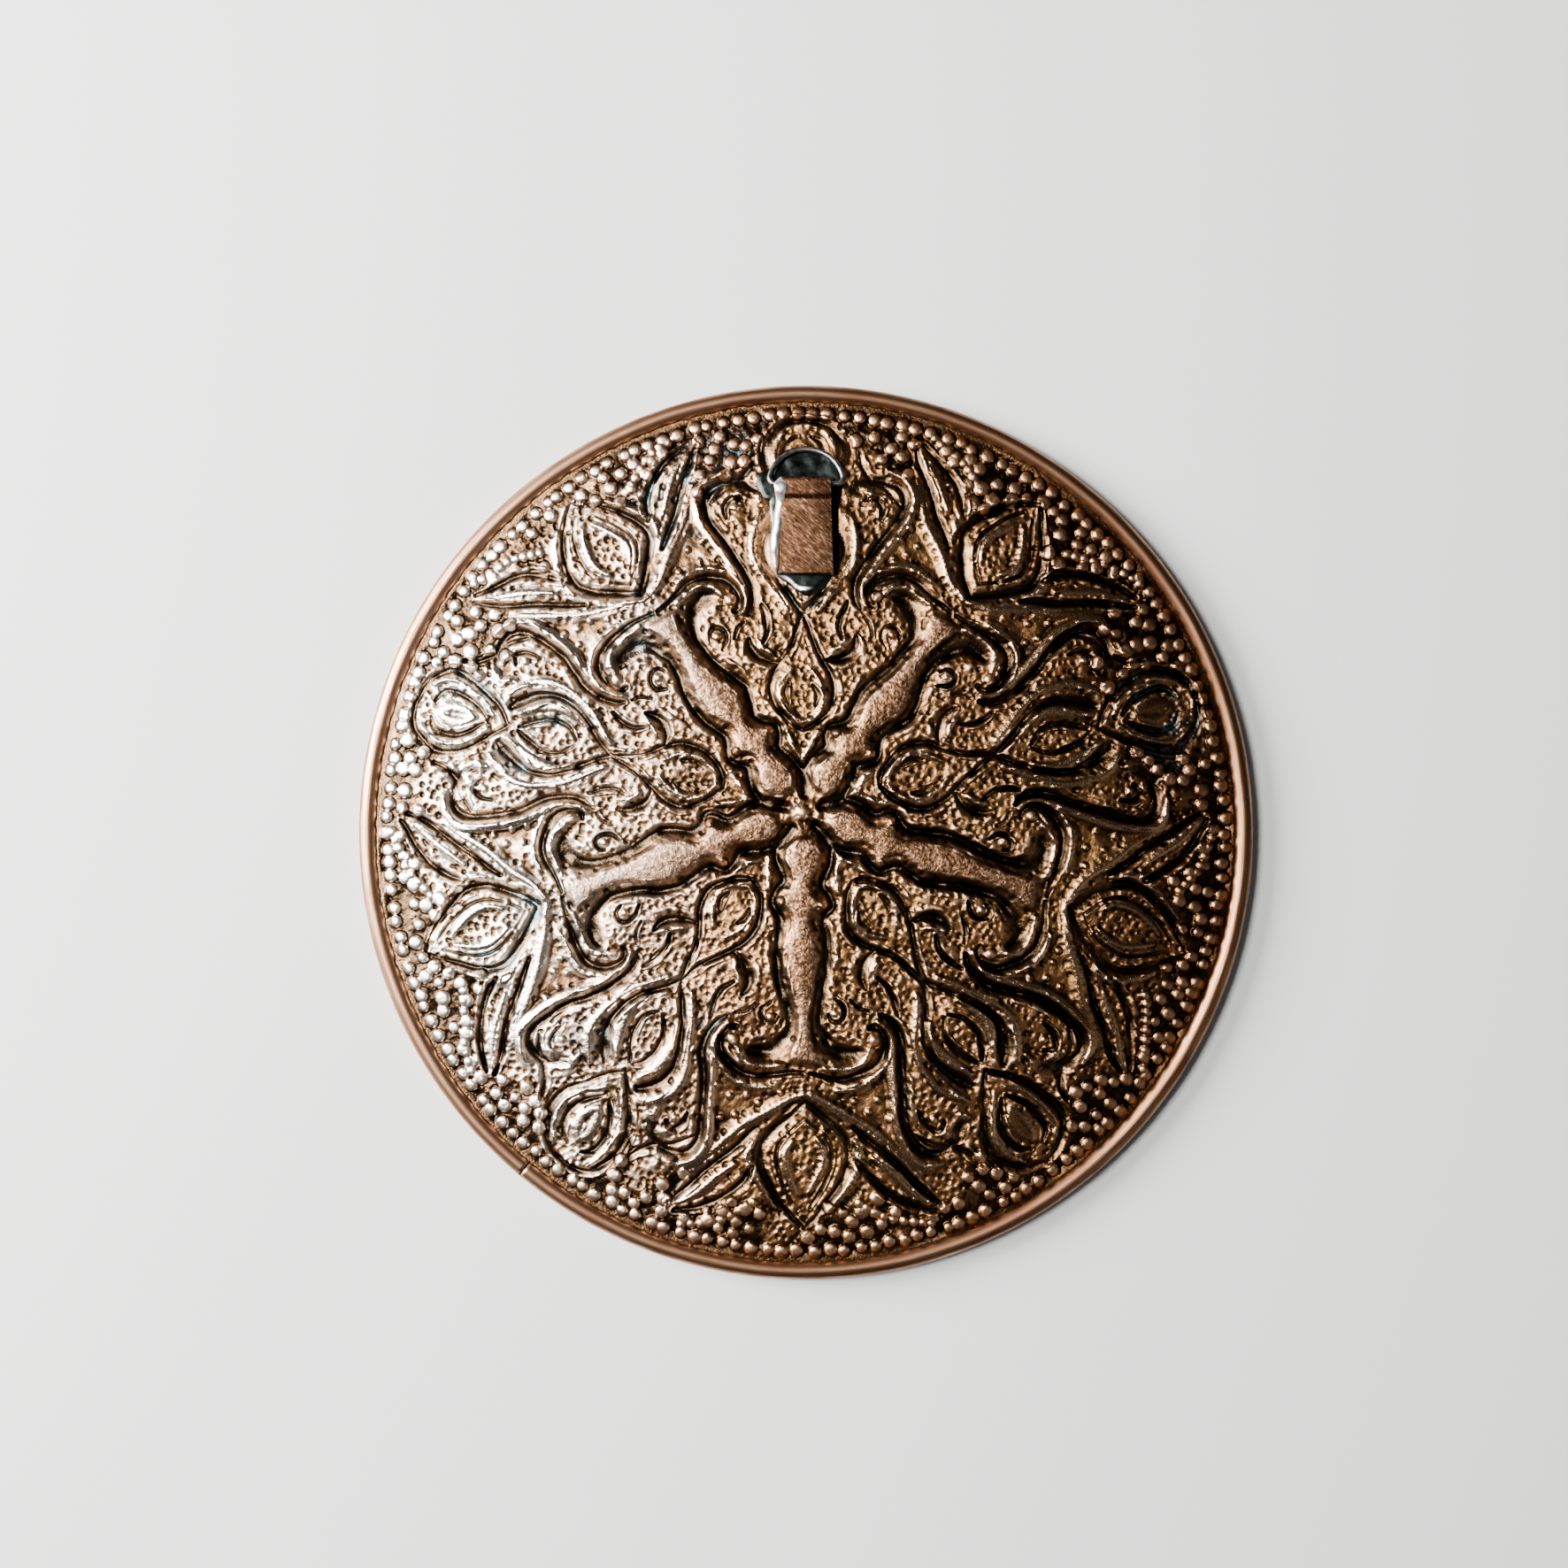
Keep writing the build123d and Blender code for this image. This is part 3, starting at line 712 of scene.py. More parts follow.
def chasedCopper():
    material, tree, shader = startMaterial("chasedCopper", Metallic=1.0)
    place = objectCoords(tree)
    arms = readAttribute(tree, "arm")
    grain = noise(tree, place, 2600, 3, 0.6)
    brushed = noise(tree, place, 1500, 3, 0.7)
    # grime and painted shade in the hollows, with grain noise
    dirtAndShade = plus(tree, readAttribute(tree, "recess"), centred(tree, grain, 0.3))

    tone = ramp(tree, noise(tree, place, 60, 5, 0.6), plateTints["body"])
    # painted highlight on the raised edges, where the metal stands proud of the hollows
    tone = blendColours(tree, spread(tree, dirtAndShade, 0.42, 0.1), tone, plateTints["edges"])
    tone = blendColours(tree, times(tree, arms, 0.9), tone, ramp(tree, brushed, plateTints["brushed"]))
    tops = spread(tree, readAttribute(tree, "bead"), 0.35, 0.8)
    # painted highlight: the bead tops are lightened
    tone = blendColours(tree, times(tree, tops, 0.55), tone, plateTints["litBeadTops"])
    # troughs darkened: partly patina on their floors and partly painted shade
    tone = blendColours(tree, times(tree, readAttribute(tree, "trough"), 0.8), tone, plateTints["troughs"])
    # painted shade on the steep flanks
    tone = blendColours(tree, times(tree, readAttribute(tree, "steep"), 0.75), tone, plateTints["shadedFlanks"])
    # grime and painted shade darken the hollows
    tone = blendColours(tree, spread(tree, dirtAndShade, 0.54, 0.92, 0.0, 0.86), tone, plateTints["grimeAndShade"])

    # painted light and shade: lighter on the lit side of the disc, darker on the shaded side
    side = litToShadedSide(tree, place)
    tone = blendColours(tree, 1.0, tone, ramp(tree, side, plateTints["sideShading"]), "MULTIPLY")
    # painted glare: a pale sheen over the lit side, away from the hollows and less on the arms
    sideGlare = times(tree, spread(tree, side, 0.38, 0.03, 0, 0.95), spread(tree, dirtAndShade, 0.7, 0.5))
    sideGlare = times(tree, sideGlare, spread(tree, arms, 0, 1, 1.0, 0.35))
    tone = blendColours(tree, sideGlare, tone, plateTints["sideGlare"])
    patchy = spread(tree, noise(tree, place, 380, 5, 0.7), 0.42, 0.6)
    green = times(tree, readAttribute(tree, "verdigris"), patchy)
    tone = blendColours(tree, green, tone, plateTints["green"])
    link(tree, tone, shader.inputs["Base Color"])

    # matt where the punches fell, burnished elsewhere
    matt = maths(tree, "MAXIMUM", readAttribute(tree, "struck"), times(tree, tops, 0.7))
    rough = plus(tree, spread(tree, matt, 0, 1, 0.2, 0.37), times(tree, grain, 0.12))
    link(tree, rough, shader.inputs["Roughness"])
    tooth = plus(tree, grain, times(tree, times(tree, brushed, arms), 3.0))
    addBump(tree, shader, tooth, 0.00012, 0.8)
    return material


rimTints = {
    "streaks": [(0.3, (0.13, 0.065, 0.04)), (0.45, (0.3, 0.165, 0.105)), (0.56, (0.41, 0.25, 0.16)),
                (0.7, (0.6, 0.42, 0.26))],
    "stains": (0.26, 0.12, 0.07),
    # painted light and shade, from the lit side of the rim to the shaded one
    "sideShading": [(0.0, (1.3, 1.32, 1.35)), (0.5, (0.85, 0.83, 0.8)), (1.0, (0.6, 0.56, 0.52))],
}


def rimCopper():
    material, tree, shader = startMaterial("rimCopper", Metallic=1.0)
    around = readAttribute(tree, "around")
    across = readAttribute(tree, "across")
    joined = addNode(tree, "ShaderNodeCombineXYZ")
    link(tree, times(tree, around, 0.09), joined.inputs[0])  # streaks run along the strip
    link(tree, times(tree, across, 5.0), joined.inputs[1])
    streaks = noise(tree, joined.outputs[0], 1.0, 6, 0.65)
    place = objectCoords(tree)
    mottle = noise(tree, place, 90, 4, 0.6)
    tone = ramp(tree, streaks, rimTints["streaks"])
    tone = blendColours(tree, spread(tree, mottle, 0.45, 0.75, 0, 0.5), tone, rimTints["stains"])
    # painted light and shade across the rim
    sideShading = ramp(tree, litToShadedSide(tree, place), rimTints["sideShading"])
    tone = blendColours(tree, 1.0, tone, sideShading, "MULTIPLY")
    link(tree, tone, shader.inputs["Base Color"])
    link(tree, spread(tree, streaks, 0.3, 0.7, 0.48, 0.3), shader.inputs["Roughness"])
    addBump(tree, shader, streaks, 0.00006, 0.6)
    return material


strapTints = {
    "scratchTurn": 40.0, "scratchScale": (750, 3400, 1900),
    "brushed": [(0.38, (0.03, 0.015, 0.01)), (0.47, (0.095, 0.048, 0.027)), (0.55, (0.17, 0.09, 0.052)),
                (0.66, (0.62, 0.38, 0.29))],
}


def strapCopper():
    material, tree, shader = startMaterial("strapCopper", Metallic=1.0)
    place = objectCoords(tree)
    slant = (0, 0, math.radians(strapTints["scratchTurn"]))
    turned = addNode(tree, "ShaderNodeMapping", {"Rotation": slant})
    stretched = addNode(tree, "ShaderNodeMapping", {"Scale": strapTints["scratchScale"]})
    link(tree, place, turned.inputs["Vector"])
    link(tree, turned.outputs["Vector"], stretched.inputs["Vector"])
    scratches = noise(tree, stretched.outputs["Vector"], 1.0, 5, 0.7)
    blotches = noise(tree, place, 260, 4, 0.6)
    mixed = plus(tree, times(tree, scratches, 0.75), times(tree, blotches, 0.25))
    tone = ramp(tree, mixed, strapTints["brushed"])
    link(tree, tone, shader.inputs["Base Color"])
    link(tree, spread(tree, scratches, 0.3, 0.7, 0.5, 0.3), shader.inputs["Roughness"])
    addBump(tree, shader, scratches, 0.00022, 0.9)
    return material


solderTints = [(0.1, (0.04, 0.046, 0.043)), (0.4, (0.14, 0.14, 0.135)), (0.75, (0.88, 0.87, 0.85))]


def softSolder():
    material, tree, shader = startMaterial("softSolder", Metallic=1.0)
    place = objectCoords(tree)
    cloud = noise(tree, place, 700, 5, 0.6)
    # bare solder and painted glints lighten the tarnished grey
    bareAndGlints = plus(tree, readAttribute(tree, "bareAndGlints"), centred(tree, cloud, 0.45))
    tone = ramp(tree, bareAndGlints, solderTints)
    link(tree, tone, shader.inputs["Base Color"])
    link(tree, spread(tree, cloud, 0.3, 0.7, 0.25, 0.5), shader.inputs["Roughness"])
    addBump(tree, shader, cloud, 0.00012, 0.6)
    return material


steelTints = [(0.35, (0.16, 0.155, 0.15)), (0.55, (0.26, 0.25, 0.24)), (0.7, (0.14, 0.085, 0.06))]


def ringSteel():
    material, tree, shader = startMaterial("ringSteel", Metallic=1.0)
    place = objectCoords(tree)
    rust = noise(tree, place, 900, 5, 0.65)
    tone = ramp(tree, rust, steelTints)
    link(tree, tone, shader.inputs["Base Color"])
    link(tree, spread(tree, rust, 0.3, 0.7, 0.24, 0.5), shader.inputs["Roughness"])
    addBump(tree, shader, rust, 0.00003, 0.5)
    return material


def clearGlass():
    material, tree, shader = startMaterial("clearGlass", Roughness=0.0, IOR=1.52, Transmission_Weight=1.0)
    smear = noise(tree, objectCoords(tree), 40, 4, 0.6)
    link(tree, spread(tree, smear, 0.4, 0.8, 0.0, 0.04), shader.inputs["Roughness"])
    return material


silverTints = [(0.3, (0.86, 0.87, 0.86)), (0.66, (0.9, 0.9, 0.89)), (0.74, (0.55, 0.52, 0.45))]


def silvering():
    material, tree, shader = startMaterial("mirrorSilver", Metallic=1.0, Roughness=0.03)
    foxing = noise(tree, objectCoords(tree), 120, 6, 0.7)
    tone = ramp(tree, foxing, silverTints)
    link(tree, tone, shader.inputs["Base Color"])
    return material


cardTints = [(0.35, (0.26, 0.21, 0.15)), (0.65, (0.38, 0.32, 0.24))]


def greyCard():
    material, tree, shader = startMaterial("greyCard", Roughness=0.85)
    fibre = noise(tree, objectCoords(tree), 1500, 4, 0.7)
    tone = ramp(tree, fibre, cardTints)
    link(tree, tone, shader.inputs["Base Color"])
    return material


finish = {
    "plate": chasedCopper(), "rim": rimCopper(), "strap": strapCopper(), "solder": softSolder(),
    "ring": ringSteel(), "glass": clearGlass(), "silver": silvering(), "card": greyCard(),
}
print("finishes mixed")


def petal(number):
    steps = plate["gridSteps"]
    bm = bmesh.new()
    bmesh.ops.create_grid(bm, x_segments=steps, y_segments=steps, size=0.5)
    mesh = bpy.data.meshes.new(f"chased_petal_{number + 1}")
    bm.to_mesh(mesh)
    bm.free()
    points = pointsOf(mesh).astype(np.float64)
    a, b = np.clip(points[:, 0] + 0.5, 0, 1), np.clip(points[:, 1] + 0.5, 0, 1)
    outer = np.maximum(a, b)  # the square's near corner becomes the hub, its far sides the edge
    inner = np.minimum(a, b) / np.maximum(outer, 1e-9)
    half = armTurn / 2
    within = np.where(a >= b, -half + half * inner, half - half * inner)
    turn = np.radians(-90 + armTurn * number + within)
    radius = outer * plate["edgeRadius"]
    x, y = radius * np.cos(turn), radius * np.sin(turn)
    z = readMap(surface, x, y)
    placePoints(mesh, np.c_[x, y, z] * mm)
    painted = {"recess": recess, "trough": layers["trough"], "struck": struck, "steep": steep,
               "arm": armBody, "bead": layers["bead"], "verdigris": verdigris}
    for name, values in painted.items():
        paintAttribute(mesh, name, readMap(values, x, y))
    addPiece(mesh.name, mesh, finish["plate"], "mirror", "back_plate")
    tilt = np.c_[-readMap(slopeX, x, y), -readMap(slopeY, x, y), np.ones(len(x))]
    tilt /= np.linalg.norm(tilt, axis=1)[:, None]
    mesh.normals_split_custom_set_from_vertices(tilt.tolist())  # keeps the light even across the seams


for number in range(plate["arms"]):
    petal(number)
print("back plate placed")

rim = {
    "gauge": 0.4,
    "rollRadius": 1.65,
    "cornerRadius": 1.2,
    "lipWidth": 3.0,
    "seamAngle": 230.0, "seamWidth": 0.3,
    "steps": 900,
    "waviness": 0.025,
    "rawEdge": 0.054,  # how ragged the cut edge on the plate is
}


def rimProfile():
    wall, roll = overallRadius, overallRadius - rim["rollRadius"]
    bend = overallRadius - rim["cornerRadius"]
    rollHeight = rimTop - rim["rollRadius"]
    insideRoll = rim["rollRadius"] - rim["gauge"]
    stop = math.pi - math.asin((plateTop + 0.02 - rollHeight) / insideRoll)
    line = [(overallRadius - rim["lipWidth"], 0.0)]
    line += [(bend + rim["cornerRadius"] * math.sin(t), rim["cornerRadius"] * (1 - math.cos(t)))
             for t in np.linspace(0, math.pi / 2, 7)]
    line += [(wall, rollHeight * 0.5 + 0.6)]
    line += [(roll + rim["rollRadius"] * math.cos(t), rollHeight + rim["rollRadius"] * math.sin(t))
             for t in np.linspace(0, stop, 22)]
    line += [(roll + insideRoll * math.cos(t), rollHeight + insideRoll * math.sin(t))
             for t in np.linspace(stop, 0, 8)]
    line += [(wall - rim["gauge"], rim["cornerRadius"]), (bend, rim["gauge"]),
             (overallRadius - rim["lipWidth"], rim["gauge"])]
    return line


def rolledRim():
    bm = bmesh.new()
    profile = rimProfile()
    start = math.radians(rim["seamAngle"]) + rim["seamWidth"] / overallRadius / 2
    sweep = 2 * math.pi - rim["seamWidth"] / overallRadius
    ring = [bm.verts.new((r * math.cos(start), r * math.sin(start), z)) for r, z in profile]
    edges = [bm.edges.new((a, b)) for a, b in zip(ring, ring[1:] + ring[:1])]
    bmesh.ops.contextual_create(bm, geom=edges)
    spun = bmesh.ops.spin(bm, geom=ring + edges, cent=(0, 0, 0), axis=(0, 0, 1), angle=sweep,
                          steps=rim["steps"])
    bmesh.ops.contextual_create(bm, geom=edgesIn(spun["geom_last"]))
    bmesh.ops.recalc_face_normals(bm, faces=bm.faces)
    mesh = meshFrom(bm, "rolled_rim")
    points = pointsOf(mesh).astype(np.float64) / mm
    x, y, z = points.T
    radius, turn = np.hypot(x, y), np.arctan2(y, x)
    around = np.mod(turn - start + 1e-6, 2 * math.pi)
    wave = np.sin(5 * around + 1) + np.sin(9 * around + 2.2)
    wave += 0.7 * np.sin(23 * around) + 0.5 * np.sin(41 * around + 1)
    shakes = np.sin(131 * around) + np.sin(77 * around + 1.1) + np.sin(211 * around + 2.3)
    onRoll = (radius > overallRadius - 4) * (z > 3.2)
    rawEdge = np.exp(-((radius - (overallRadius - 2 * rim["rollRadius"])) / 0.35) ** 2) * (z > 2)
    shift = rim["waviness"] * wave * onRoll + rim["rawEdge"] * shakes * rawEdge
    shift *= smoothStep(np.minimum(around, 2 * math.pi - around) * 8)  # none at the seam
    outermost = radius > overallRadius - 0.3
    radius = radius + np.where(outermost, -np.abs(shift), shift)  # never past the wall
    placePoints(mesh, np.c_[radius * np.cos(turn), radius * np.sin(turn), z] * mm)
    paintAttribute(mesh, "around", around * overallRadius)
    paintAttribute(mesh, "across", radius - overallRadius + z)
    addPiece("rolled_rim", mesh, finish["rim"], "mirror", "rim_channel")


rolledRim()
print("rim rolled")

hanger = {
    "fromEdge": 27.3,  # middle of the strap from the rim's edge
    "bed": 0.5,  # solder under the strap
    "strapGauge": 0.8, "length": 16.7, "cutWidth": 9.9, "foldWidth": 9.0,
    "leafGap": 0.2, "foldTop": 0.5, "foldSlope": 2.2, "shoulder": (1.7, 0.22), "bevel": 0.13,
    "wire": 1.0, "insideWidth": 12.7, "cornerRadius": 1.2, "clearance": 0.05,
    "restTilt": 9.0,  # degrees that the ring lies below the strap's slope
}
hangerDistance = overallRadius - hanger["fromEdge"]
hangerSlope = math.asin(hangerDistance / sphereRadius)
hangerBarY = hanger["length"] / 2
lowerTop = hanger["bed"] + hanger["strapGauge"]
upperBottom = lowerTop + hanger["leafGap"]
upperTop = upperBottom + hanger["strapGauge"]
foldInside = hanger["wire"] / 2 + hanger["clearance"]
foldOutside = foldInside + hanger["strapGauge"]
hangerBarZ = lowerTop + foldInside
barPlace = Matrix.Translation((0, barY, barZ))
toBar = Matrix.Translation((0, -hangerBarY, -hangerBarZ))
strapPlace = barPlace @ Matrix.Rotation(-hangerSlope, 4, "X") @ toBar


def foldArc(radius, angles):
    return [(hangerBarY + radius * math.cos(t), hangerBarZ + radius * math.sin(t)) for t in angles]


def foldedStrap():
    cutY = hangerBarY - hanger["length"]
    levelY = hangerBarY - hanger["foldTop"]
    flatY = levelY - hanger["foldSlope"]
    back, drop = hanger["shoulder"]
    angles = np.linspace(-math.pi / 2, math.pi / 2, 13)
    side = [(cutY, hanger["bed"])] + foldArc(foldOutside, angles)
    side += [(levelY, hangerBarZ + foldOutside), (levelY - back, hangerBarZ + foldOutside - drop),
             (flatY - 0.1, upperTop), (cutY, upperTop), (cutY, upperBottom),
             (flatY, upperBottom), (levelY, hangerBarZ + foldInside)]
    side += foldArc(foldInside, angles[::-1]) + [(cutY, lowerTop)]
    bm = bmesh.new()
    face = bm.faces.new([bm.verts.new((-1, y, z)) for y, z in side])
    pushed = bmesh.ops.extrude_face_region(bm, geom=[face])
    bmesh.ops.translate(bm, vec=(2, 0, 0), verts=vertsIn(pushed["geom"]))
    for vert in bm.verts:  # narrower at the fold than at the cut ends
        along = (vert.co.y - cutY) / (hangerBarY + foldOutside - cutY)
        vert.co.x *= (hanger["cutWidth"] + (hanger["foldWidth"] - hanger["cutWidth"]) * along) / 2
    bmesh.ops.recalc_face_normals(bm, faces=bm.faces)
    sharp = [e for e in bm.edges if len(e.link_faces) == 2 and e.calc_face_angle(0) > 0.6]
    bmesh.ops.bevel(bm, geom=sharp, offset=hanger["bevel"], offset_type="OFFSET", segments=3, profile=0.5,
                    affect="EDGES", material=-1)
    bmesh.ops.transform(bm, matrix=strapPlace, verts=bm.verts)
    mesh = meshFrom(bm, "folded_strap")
    addPiece("folded_strap", mesh, finish["strap"], "mirror", "hanger_strap")


def wireRing():
    radius = (hanger["insideWidth"] + hanger["wire"]) / 2
    corner = hanger["cornerRadius"]
    cornerX = math.sqrt((radius - corner) ** 2 - corner**2)
    lean = math.atan2(corner, cornerX)
    bm = bmesh.new()
    standing = Matrix.Rotation(math.radians(90), 3, "Y")
    made = bmesh.ops.create_circle(bm, segments=20, radius=hanger["wire"] / 2)
    bmesh.ops.rotate(bm, matrix=standing, verts=made["verts"])
    bmesh.ops.translate(bm, vec=(-cornerX, 0, 0), verts=made["verts"])
    live = list(made["verts"]) + list({e for v in made["verts"] for e in v.link_edges})
    barSteps = 12
    for _ in range(barSteps):
        grown = bmesh.ops.extrude_edge_only(bm, edges=edgesIn(live))["geom"]
        live = vertsIn(grown) + edgesIn(grown)
        bmesh.ops.translate(bm, vec=(2 * cornerX / barSteps, 0, 0), verts=vertsIn(live))
    bends = [((cornerX, corner, 0), math.pi / 2 + lean, 12),
             ((0, 0, 0), math.pi - 2 * lean, 60),
             ((-cornerX, corner, 0), math.pi / 2 + lean, 12)]
    for centre, angle, steps in bends:
        turned = bmesh.ops.spin(bm, geom=live, cent=centre, axis=(0, 0, 1), angle=angle, steps=steps)
        live = turned["geom_last"]
    bmesh.ops.remove_doubles(bm, verts=bm.verts, dist=0.01)
    bmesh.ops.recalc_face_normals(bm, faces=bm.faces)
    leanDown = Matrix.Rotation(-hangerSlope - math.radians(hanger["restTilt"]), 4, "X")
    bmesh.ops.transform(bm, matrix=barPlace @ leanDown, verts=bm.verts)
    mesh = meshFrom(bm, "wire_ring")
    addPiece("wire_ring", mesh, finish["ring"], "ring", "hanger_ring")


solder = {
    "thickness": 0.42, "edge": 0.06,
    "skirt": 0.12, "depth": 0.3,  # how far its border and its underside go into the plate
    "steps": (150, 200), "box": (-11.5, 42.0, 11.5, 72.5),  # of the grid that the pool is cut from
    # what the pool covers: inside the ring, round the strap and the wedge below it
    "pool": [(-6.9, 63.8), (-6.2, 67.6), (-3.6, 70.3), (0.2, 70.9), (3.8, 70.0), (6.3, 67.2), (6.9, 63.4),
             (6.4, 60.4), (5.8, 55.0), (5.9, 50.2), (4.6, 47.0), (2.2, 44.6), (0.2, 43.4), (-2.4, 45.0),
             (-5.0, 46.8), (-6.1, 50.0), (-6.5, 55.0), (-6.9, 60.0)],
    "splash": [(-9.2, 65.8), (-7.6, 66.4), (-5.4, 66.0), (-4.8, 63.8), (-5.4, 61.0), (-7.4, 60.6),
               (-8.6, 62.2), (-9.3, 64.2)],
    # where the pool is bright, partly lighter bare solder and partly painted glints: strength, place and
    # spread across and along
    "bright": [(0.16, -8.2, 63.8, 1.2, 2.4), (0.8, -0.4, 44.6, 1.4, 0.35), (0.5, -6.6, 56.0, 0.5, 5.0)],
    # a painted glint along the pool's lower edge below the strap
    "slantedBright": (0.9, 43.0, 45.4, 0.5, 1.3),  # the same, with its place across measured on a slant
    # bright run over the strap's left edge: sideways, outwards, half width, foot and top over the plate
    "run": [(-4.75, 65.0, 1.0, 2.5, 3.0), (-4.75, 64.4, 1.15, 2.6, 3.4), (-4.75, 63.2, 1.15, 2.9, 3.65),
            (-4.65, 62.1, 1.1, 2.2, 3.5), (-4.6, 61.0, 0.95, 0.2, 2.8), (-4.65, 60.0, 0.95, 0.0, 2.35),
            (-4.75, 59.0, 1.0, 0.0, 2.3), (-4.9, 58.0, 1.05, 0.0, 2.35), (-5.05, 56.4, 1.05, 0.0, 2.45),
            (-5.4, 54.2, 1.1, 0.0, 2.5), (-5.6, 52.2, 1.0, 0.0, 2.3), (-5.65, 50.4, 0.8, 0.0, 1.8),
            (-5.55, 48.6, 0.5, 0.0, 1.2), (-5.35, 46.8, 0.2, 0.0, 0.5)],
    "bluntness": 0.97,  # share of the run's length between its blunt ends
}


def solderMap():
    # thickness of the solder over the plate
    shape = np.zeros(mapShape, np.float32)
    for name in ("pool", "splash"):
        loop = strayed(curveThrough(solder[name], 0.6, closed=True), 0.5)
        outline = np.vstack([loop, loop[:1]])
        window, ratio = ratioTo(outline, np.full(len(outline), 0.9), 1.0)
        part = shape[window]
        np.maximum(part, np.where(insideOf(loop, window), np.sqrt(ratio), 0), out=part)
    return shape


def solderSheet():
    x0, y0, x1, y1 = solder["box"]
    bm = bmesh.new()
    bmesh.ops.create_grid(bm, x_segments=solder["steps"][0], y_segments=solder["steps"][1], size=0.5)
    flat = np.array([v.co for v in bm.verts])
    x, y = x0 + (flat[:, 0] + 0.5) * (x1 - x0), y0 + (flat[:, 1] + 0.5) * (y1 - y0)
    thick = readMap(solderMap(), x, y)
    lumps = 1 + 0.16 * readMap(softLumps, x, y)
    height = np.where(thick > 0, solder["edge"] + solder["thickness"] * thick * lumps, -solder["skirt"])
    height += domeHeight(np.hypot(x, y))
    for vert, px, py, pz in zip(bm.verts, x, y, height):
        vert.co = (px, py, pz)
    rimmed = {n for v, t in zip(bm.verts, thick) if t > 0 for e in v.link_edges for n in e.verts}
    bmesh.ops.delete(bm, geom=[v for v in bm.verts if v not in rimmed], context="VERTS")
    pushed = bmesh.ops.extrude_face_region(bm, geom=list(bm.faces))
    bmesh.ops.translate(bm, vec=(0, 0, -solder["depth"]), verts=vertsIn(pushed["geom"]))
    bmesh.ops.recalc_face_normals(bm, faces=bm.faces)
    mesh = meshFrom(bm, "solder_pool")
    x, y, _ = pointsOf(mesh).astype(np.float64).T / mm
    # lighter bare solder and painted glints on the pool
    strength, *place = solder["slantedBright"]
    bareAndGlints = strength * roundSpot(x + y, y, *place)
    for strength, *place in solder["bright"]:
        bareAndGlints += strength * roundSpot(x, y, *place)
    paintAttribute(mesh, "bareAndGlints", np.clip(bareAndGlints, 0, 1))
    addPiece("solder_pool", mesh, finish["solder"], "mirror", "solder_bed")


def solderRun():
    stations = curveThrough(solder["run"], 0.3)
    bm = bmesh.new()
    bmesh.ops.create_uvsphere(bm, u_segments=28, v_segments=70, radius=1.0)
    ball = np.array([v.co for v in bm.verts])
    along = np.linspace(0, 1, len(stations))
    share = np.arccos(np.clip(ball[:, 2], -1, 1)) / math.pi
    x, y, wide, foot, top = (np.interp(share, along, stations[:, column]) for column in range(5))
    girth = np.hypot(ball[:, 0], ball[:, 1]) + 1e-9
    fullness = np.minimum(girth / np.sqrt(1 - solder["bluntness"] ** 2), 1)
    across, upward = ball[:, 0] / girth * fullness, ball[:, 1] / girth * fullness
    x = x + wide * across
    middle = (foot + top) / 2
    z = domeHeight(np.hypot(x, y)) + middle + (top - middle) * upward + 0.06 * readMap(softLumps, x, y)
    for vert, place in zip(bm.verts, np.c_[x, y, z]):
        vert.co = place
    bm.normal_update()
    bmesh.ops.recalc_face_normals(bm, faces=bm.faces)
    if bm.calc_volume(signed=True) < 0:  # inside out
        bmesh.ops.reverse_faces(bm, faces=bm.faces)
    mesh = meshFrom(bm, "solder_run")
    paintAttribute(mesh, "bareAndGlints", np.ones(len(mesh.vertices)))
    addPiece("solder_run", mesh, finish["solder"], "mirror", "solder_bed")


softLumps = unevenField(0.8)
foldedStrap()
wireRing()
solderSheet()
solderRun()
print("hanger made")

for node, material in (("mirror_glass", "glass"), ("mirror_silvering", "silver"), ("backing_board", "card"),
                       ("leaf_solder", "solder"), ("rim_seam_solder", "solder")):
    for slot in frame["nodes"][node].material_slots:
        slot.material = finish[material]

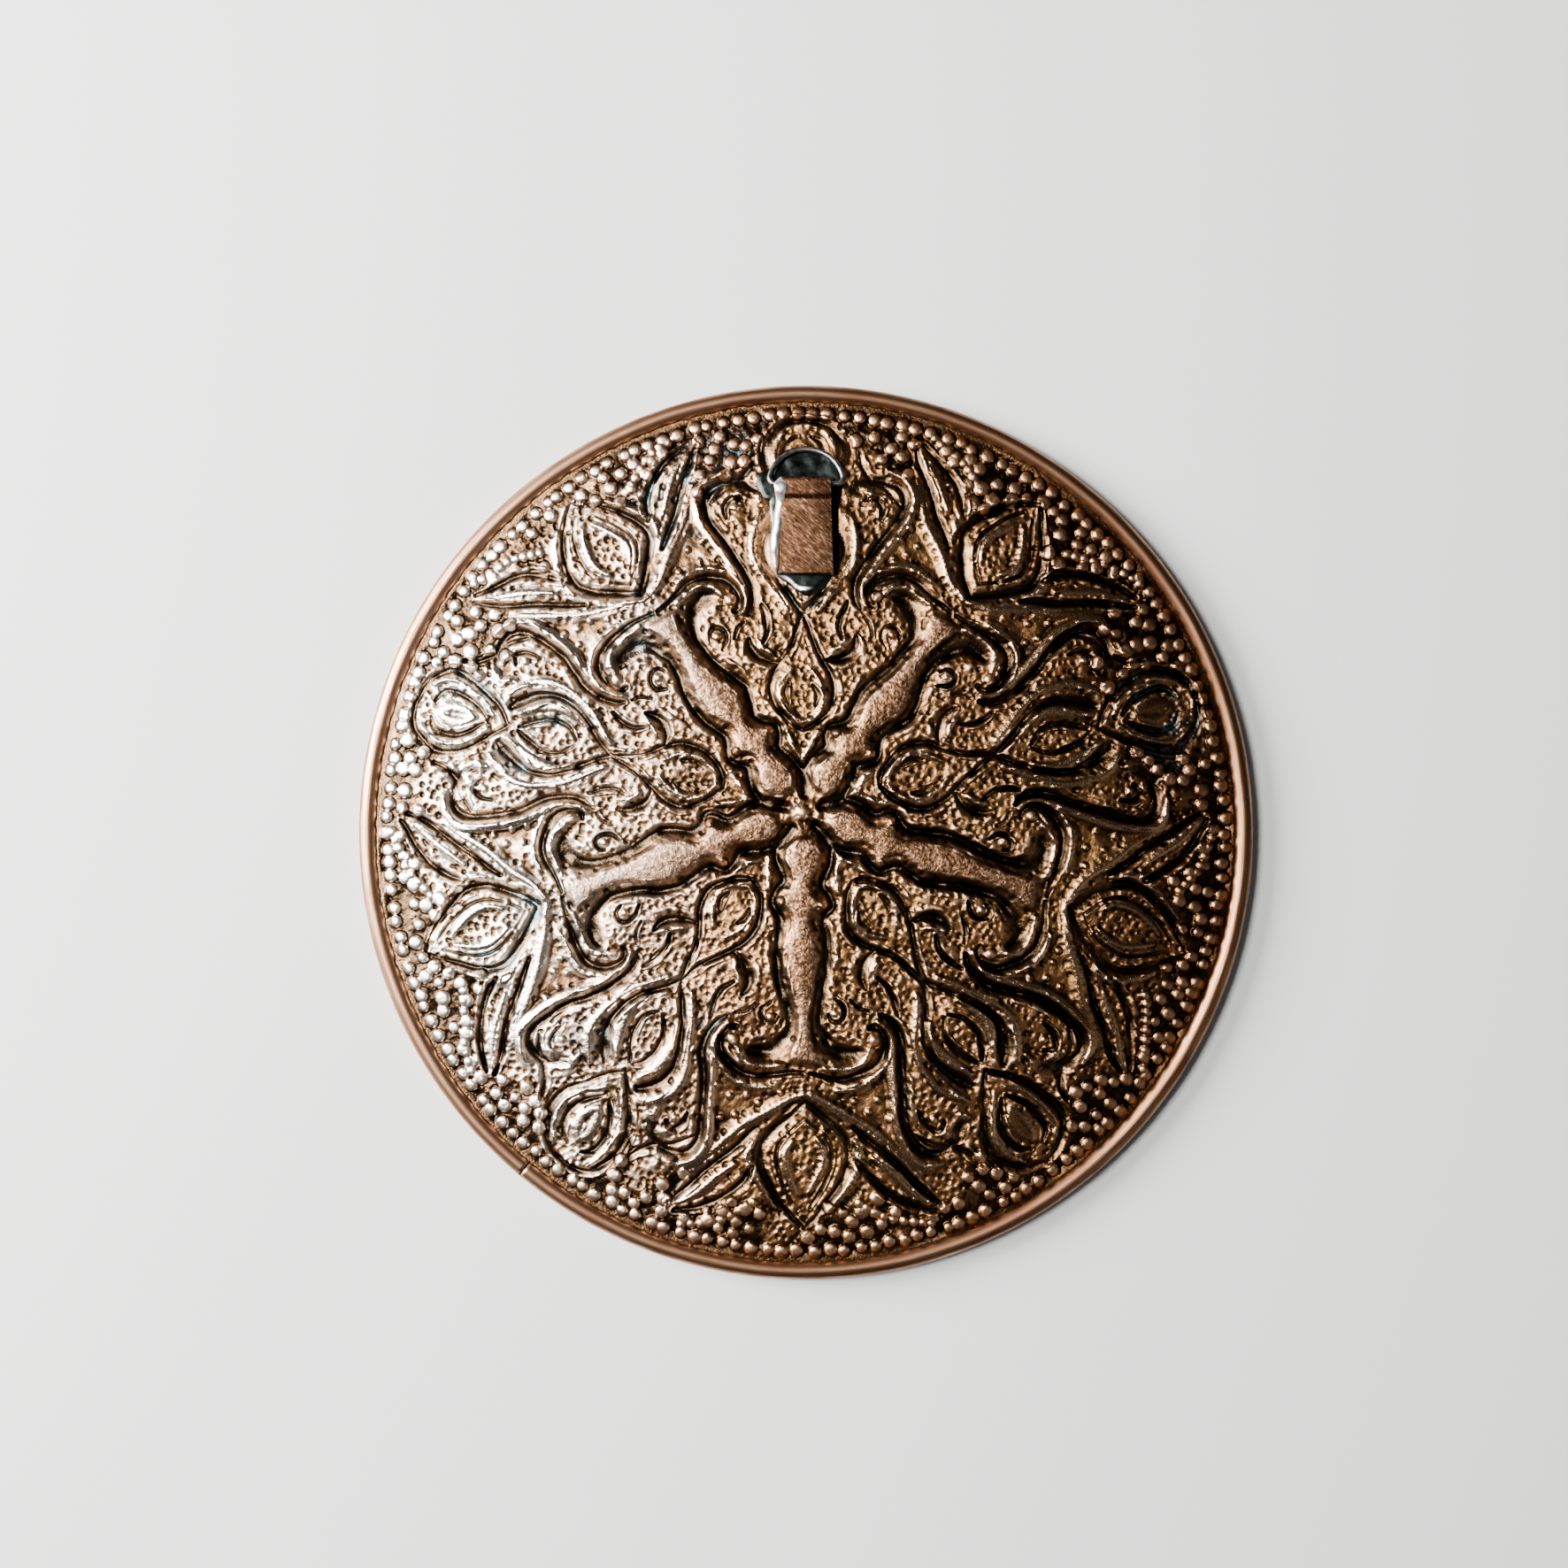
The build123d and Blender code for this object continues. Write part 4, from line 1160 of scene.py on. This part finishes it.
studio = {
    "frameWidth": 288.3,  # of the view, at the rim's top
    "lens": 50.0, "sensor": 36.0,
    "aim": (-4.07, 8.95),
    "floor": (0.62, 0.62, 0.61),
    "keyPlace": (-0.82, 0.22, 0.42), "keySize": 0.5, "keyPower": 30.0,
    "windowPlace": (-0.46, 0.12, 0.88), "windowSize": 0.26, "windowPower": 12.5,
    "fillPlace": (0.6, -0.35, 0.4), "fillSize": 0.6, "fillPower": 0.5,
    "world": 0.055,
}


def paleFloor():
    bm = bmesh.new()
    bmesh.ops.create_grid(bm, x_segments=1, y_segments=1, size=1500)
    floor = bpy.data.objects.new("floor", meshFrom(bm, "floor"))
    material, tree, shader = startMaterial("paleFloor", Roughness=0.8)
    shader.inputs["Base Color"].default_value = (*studio["floor"], 1)
    floor.data.materials.append(material)
    bpy.context.scene.collection.objects.link(floor)


def softLight(name, place, size, power):
    data = bpy.data.lights.new(name, "AREA")
    data.size = size
    data.energy = power
    lamp = bpy.data.objects.new(name, data)
    lamp.location = place
    lamp.rotation_euler = (-Vector(place)).to_track_quat("-Z", "Y").to_euler()
    bpy.context.scene.collection.objects.link(lamp)


def studioSet():
    paleFloor()
    softLight("key", studio["keyPlace"], studio["keySize"], studio["keyPower"])
    softLight("window", studio["windowPlace"], studio["windowSize"], studio["windowPower"])
    softLight("fill", studio["fillPlace"], studio["fillSize"], studio["fillPower"])
    world = bpy.data.worlds.new("studio")
    world.use_nodes = True
    level = studio["world"]
    world.node_tree.nodes["Background"].inputs["Color"].default_value = (level, level, level, 1)
    bpy.context.scene.world = world
    bpy.context.scene.view_settings.look = "AgX - Medium High Contrast"
    lens = bpy.data.cameras.new("camera")
    lens.lens = studio["lens"]
    lens.sensor_width = studio["sensor"]
    lens.clip_start = 0.01
    camera = bpy.data.objects.new("camera", lens)
    distance = studio["frameWidth"] * studio["lens"] / studio["sensor"]
    camera.location = (studio["aim"][0] * mm, studio["aim"][1] * mm, (rimTop + distance) * mm)
    bpy.context.scene.collection.objects.link(camera)
    bpy.context.scene.camera = camera


studioSet()
print("studio set")
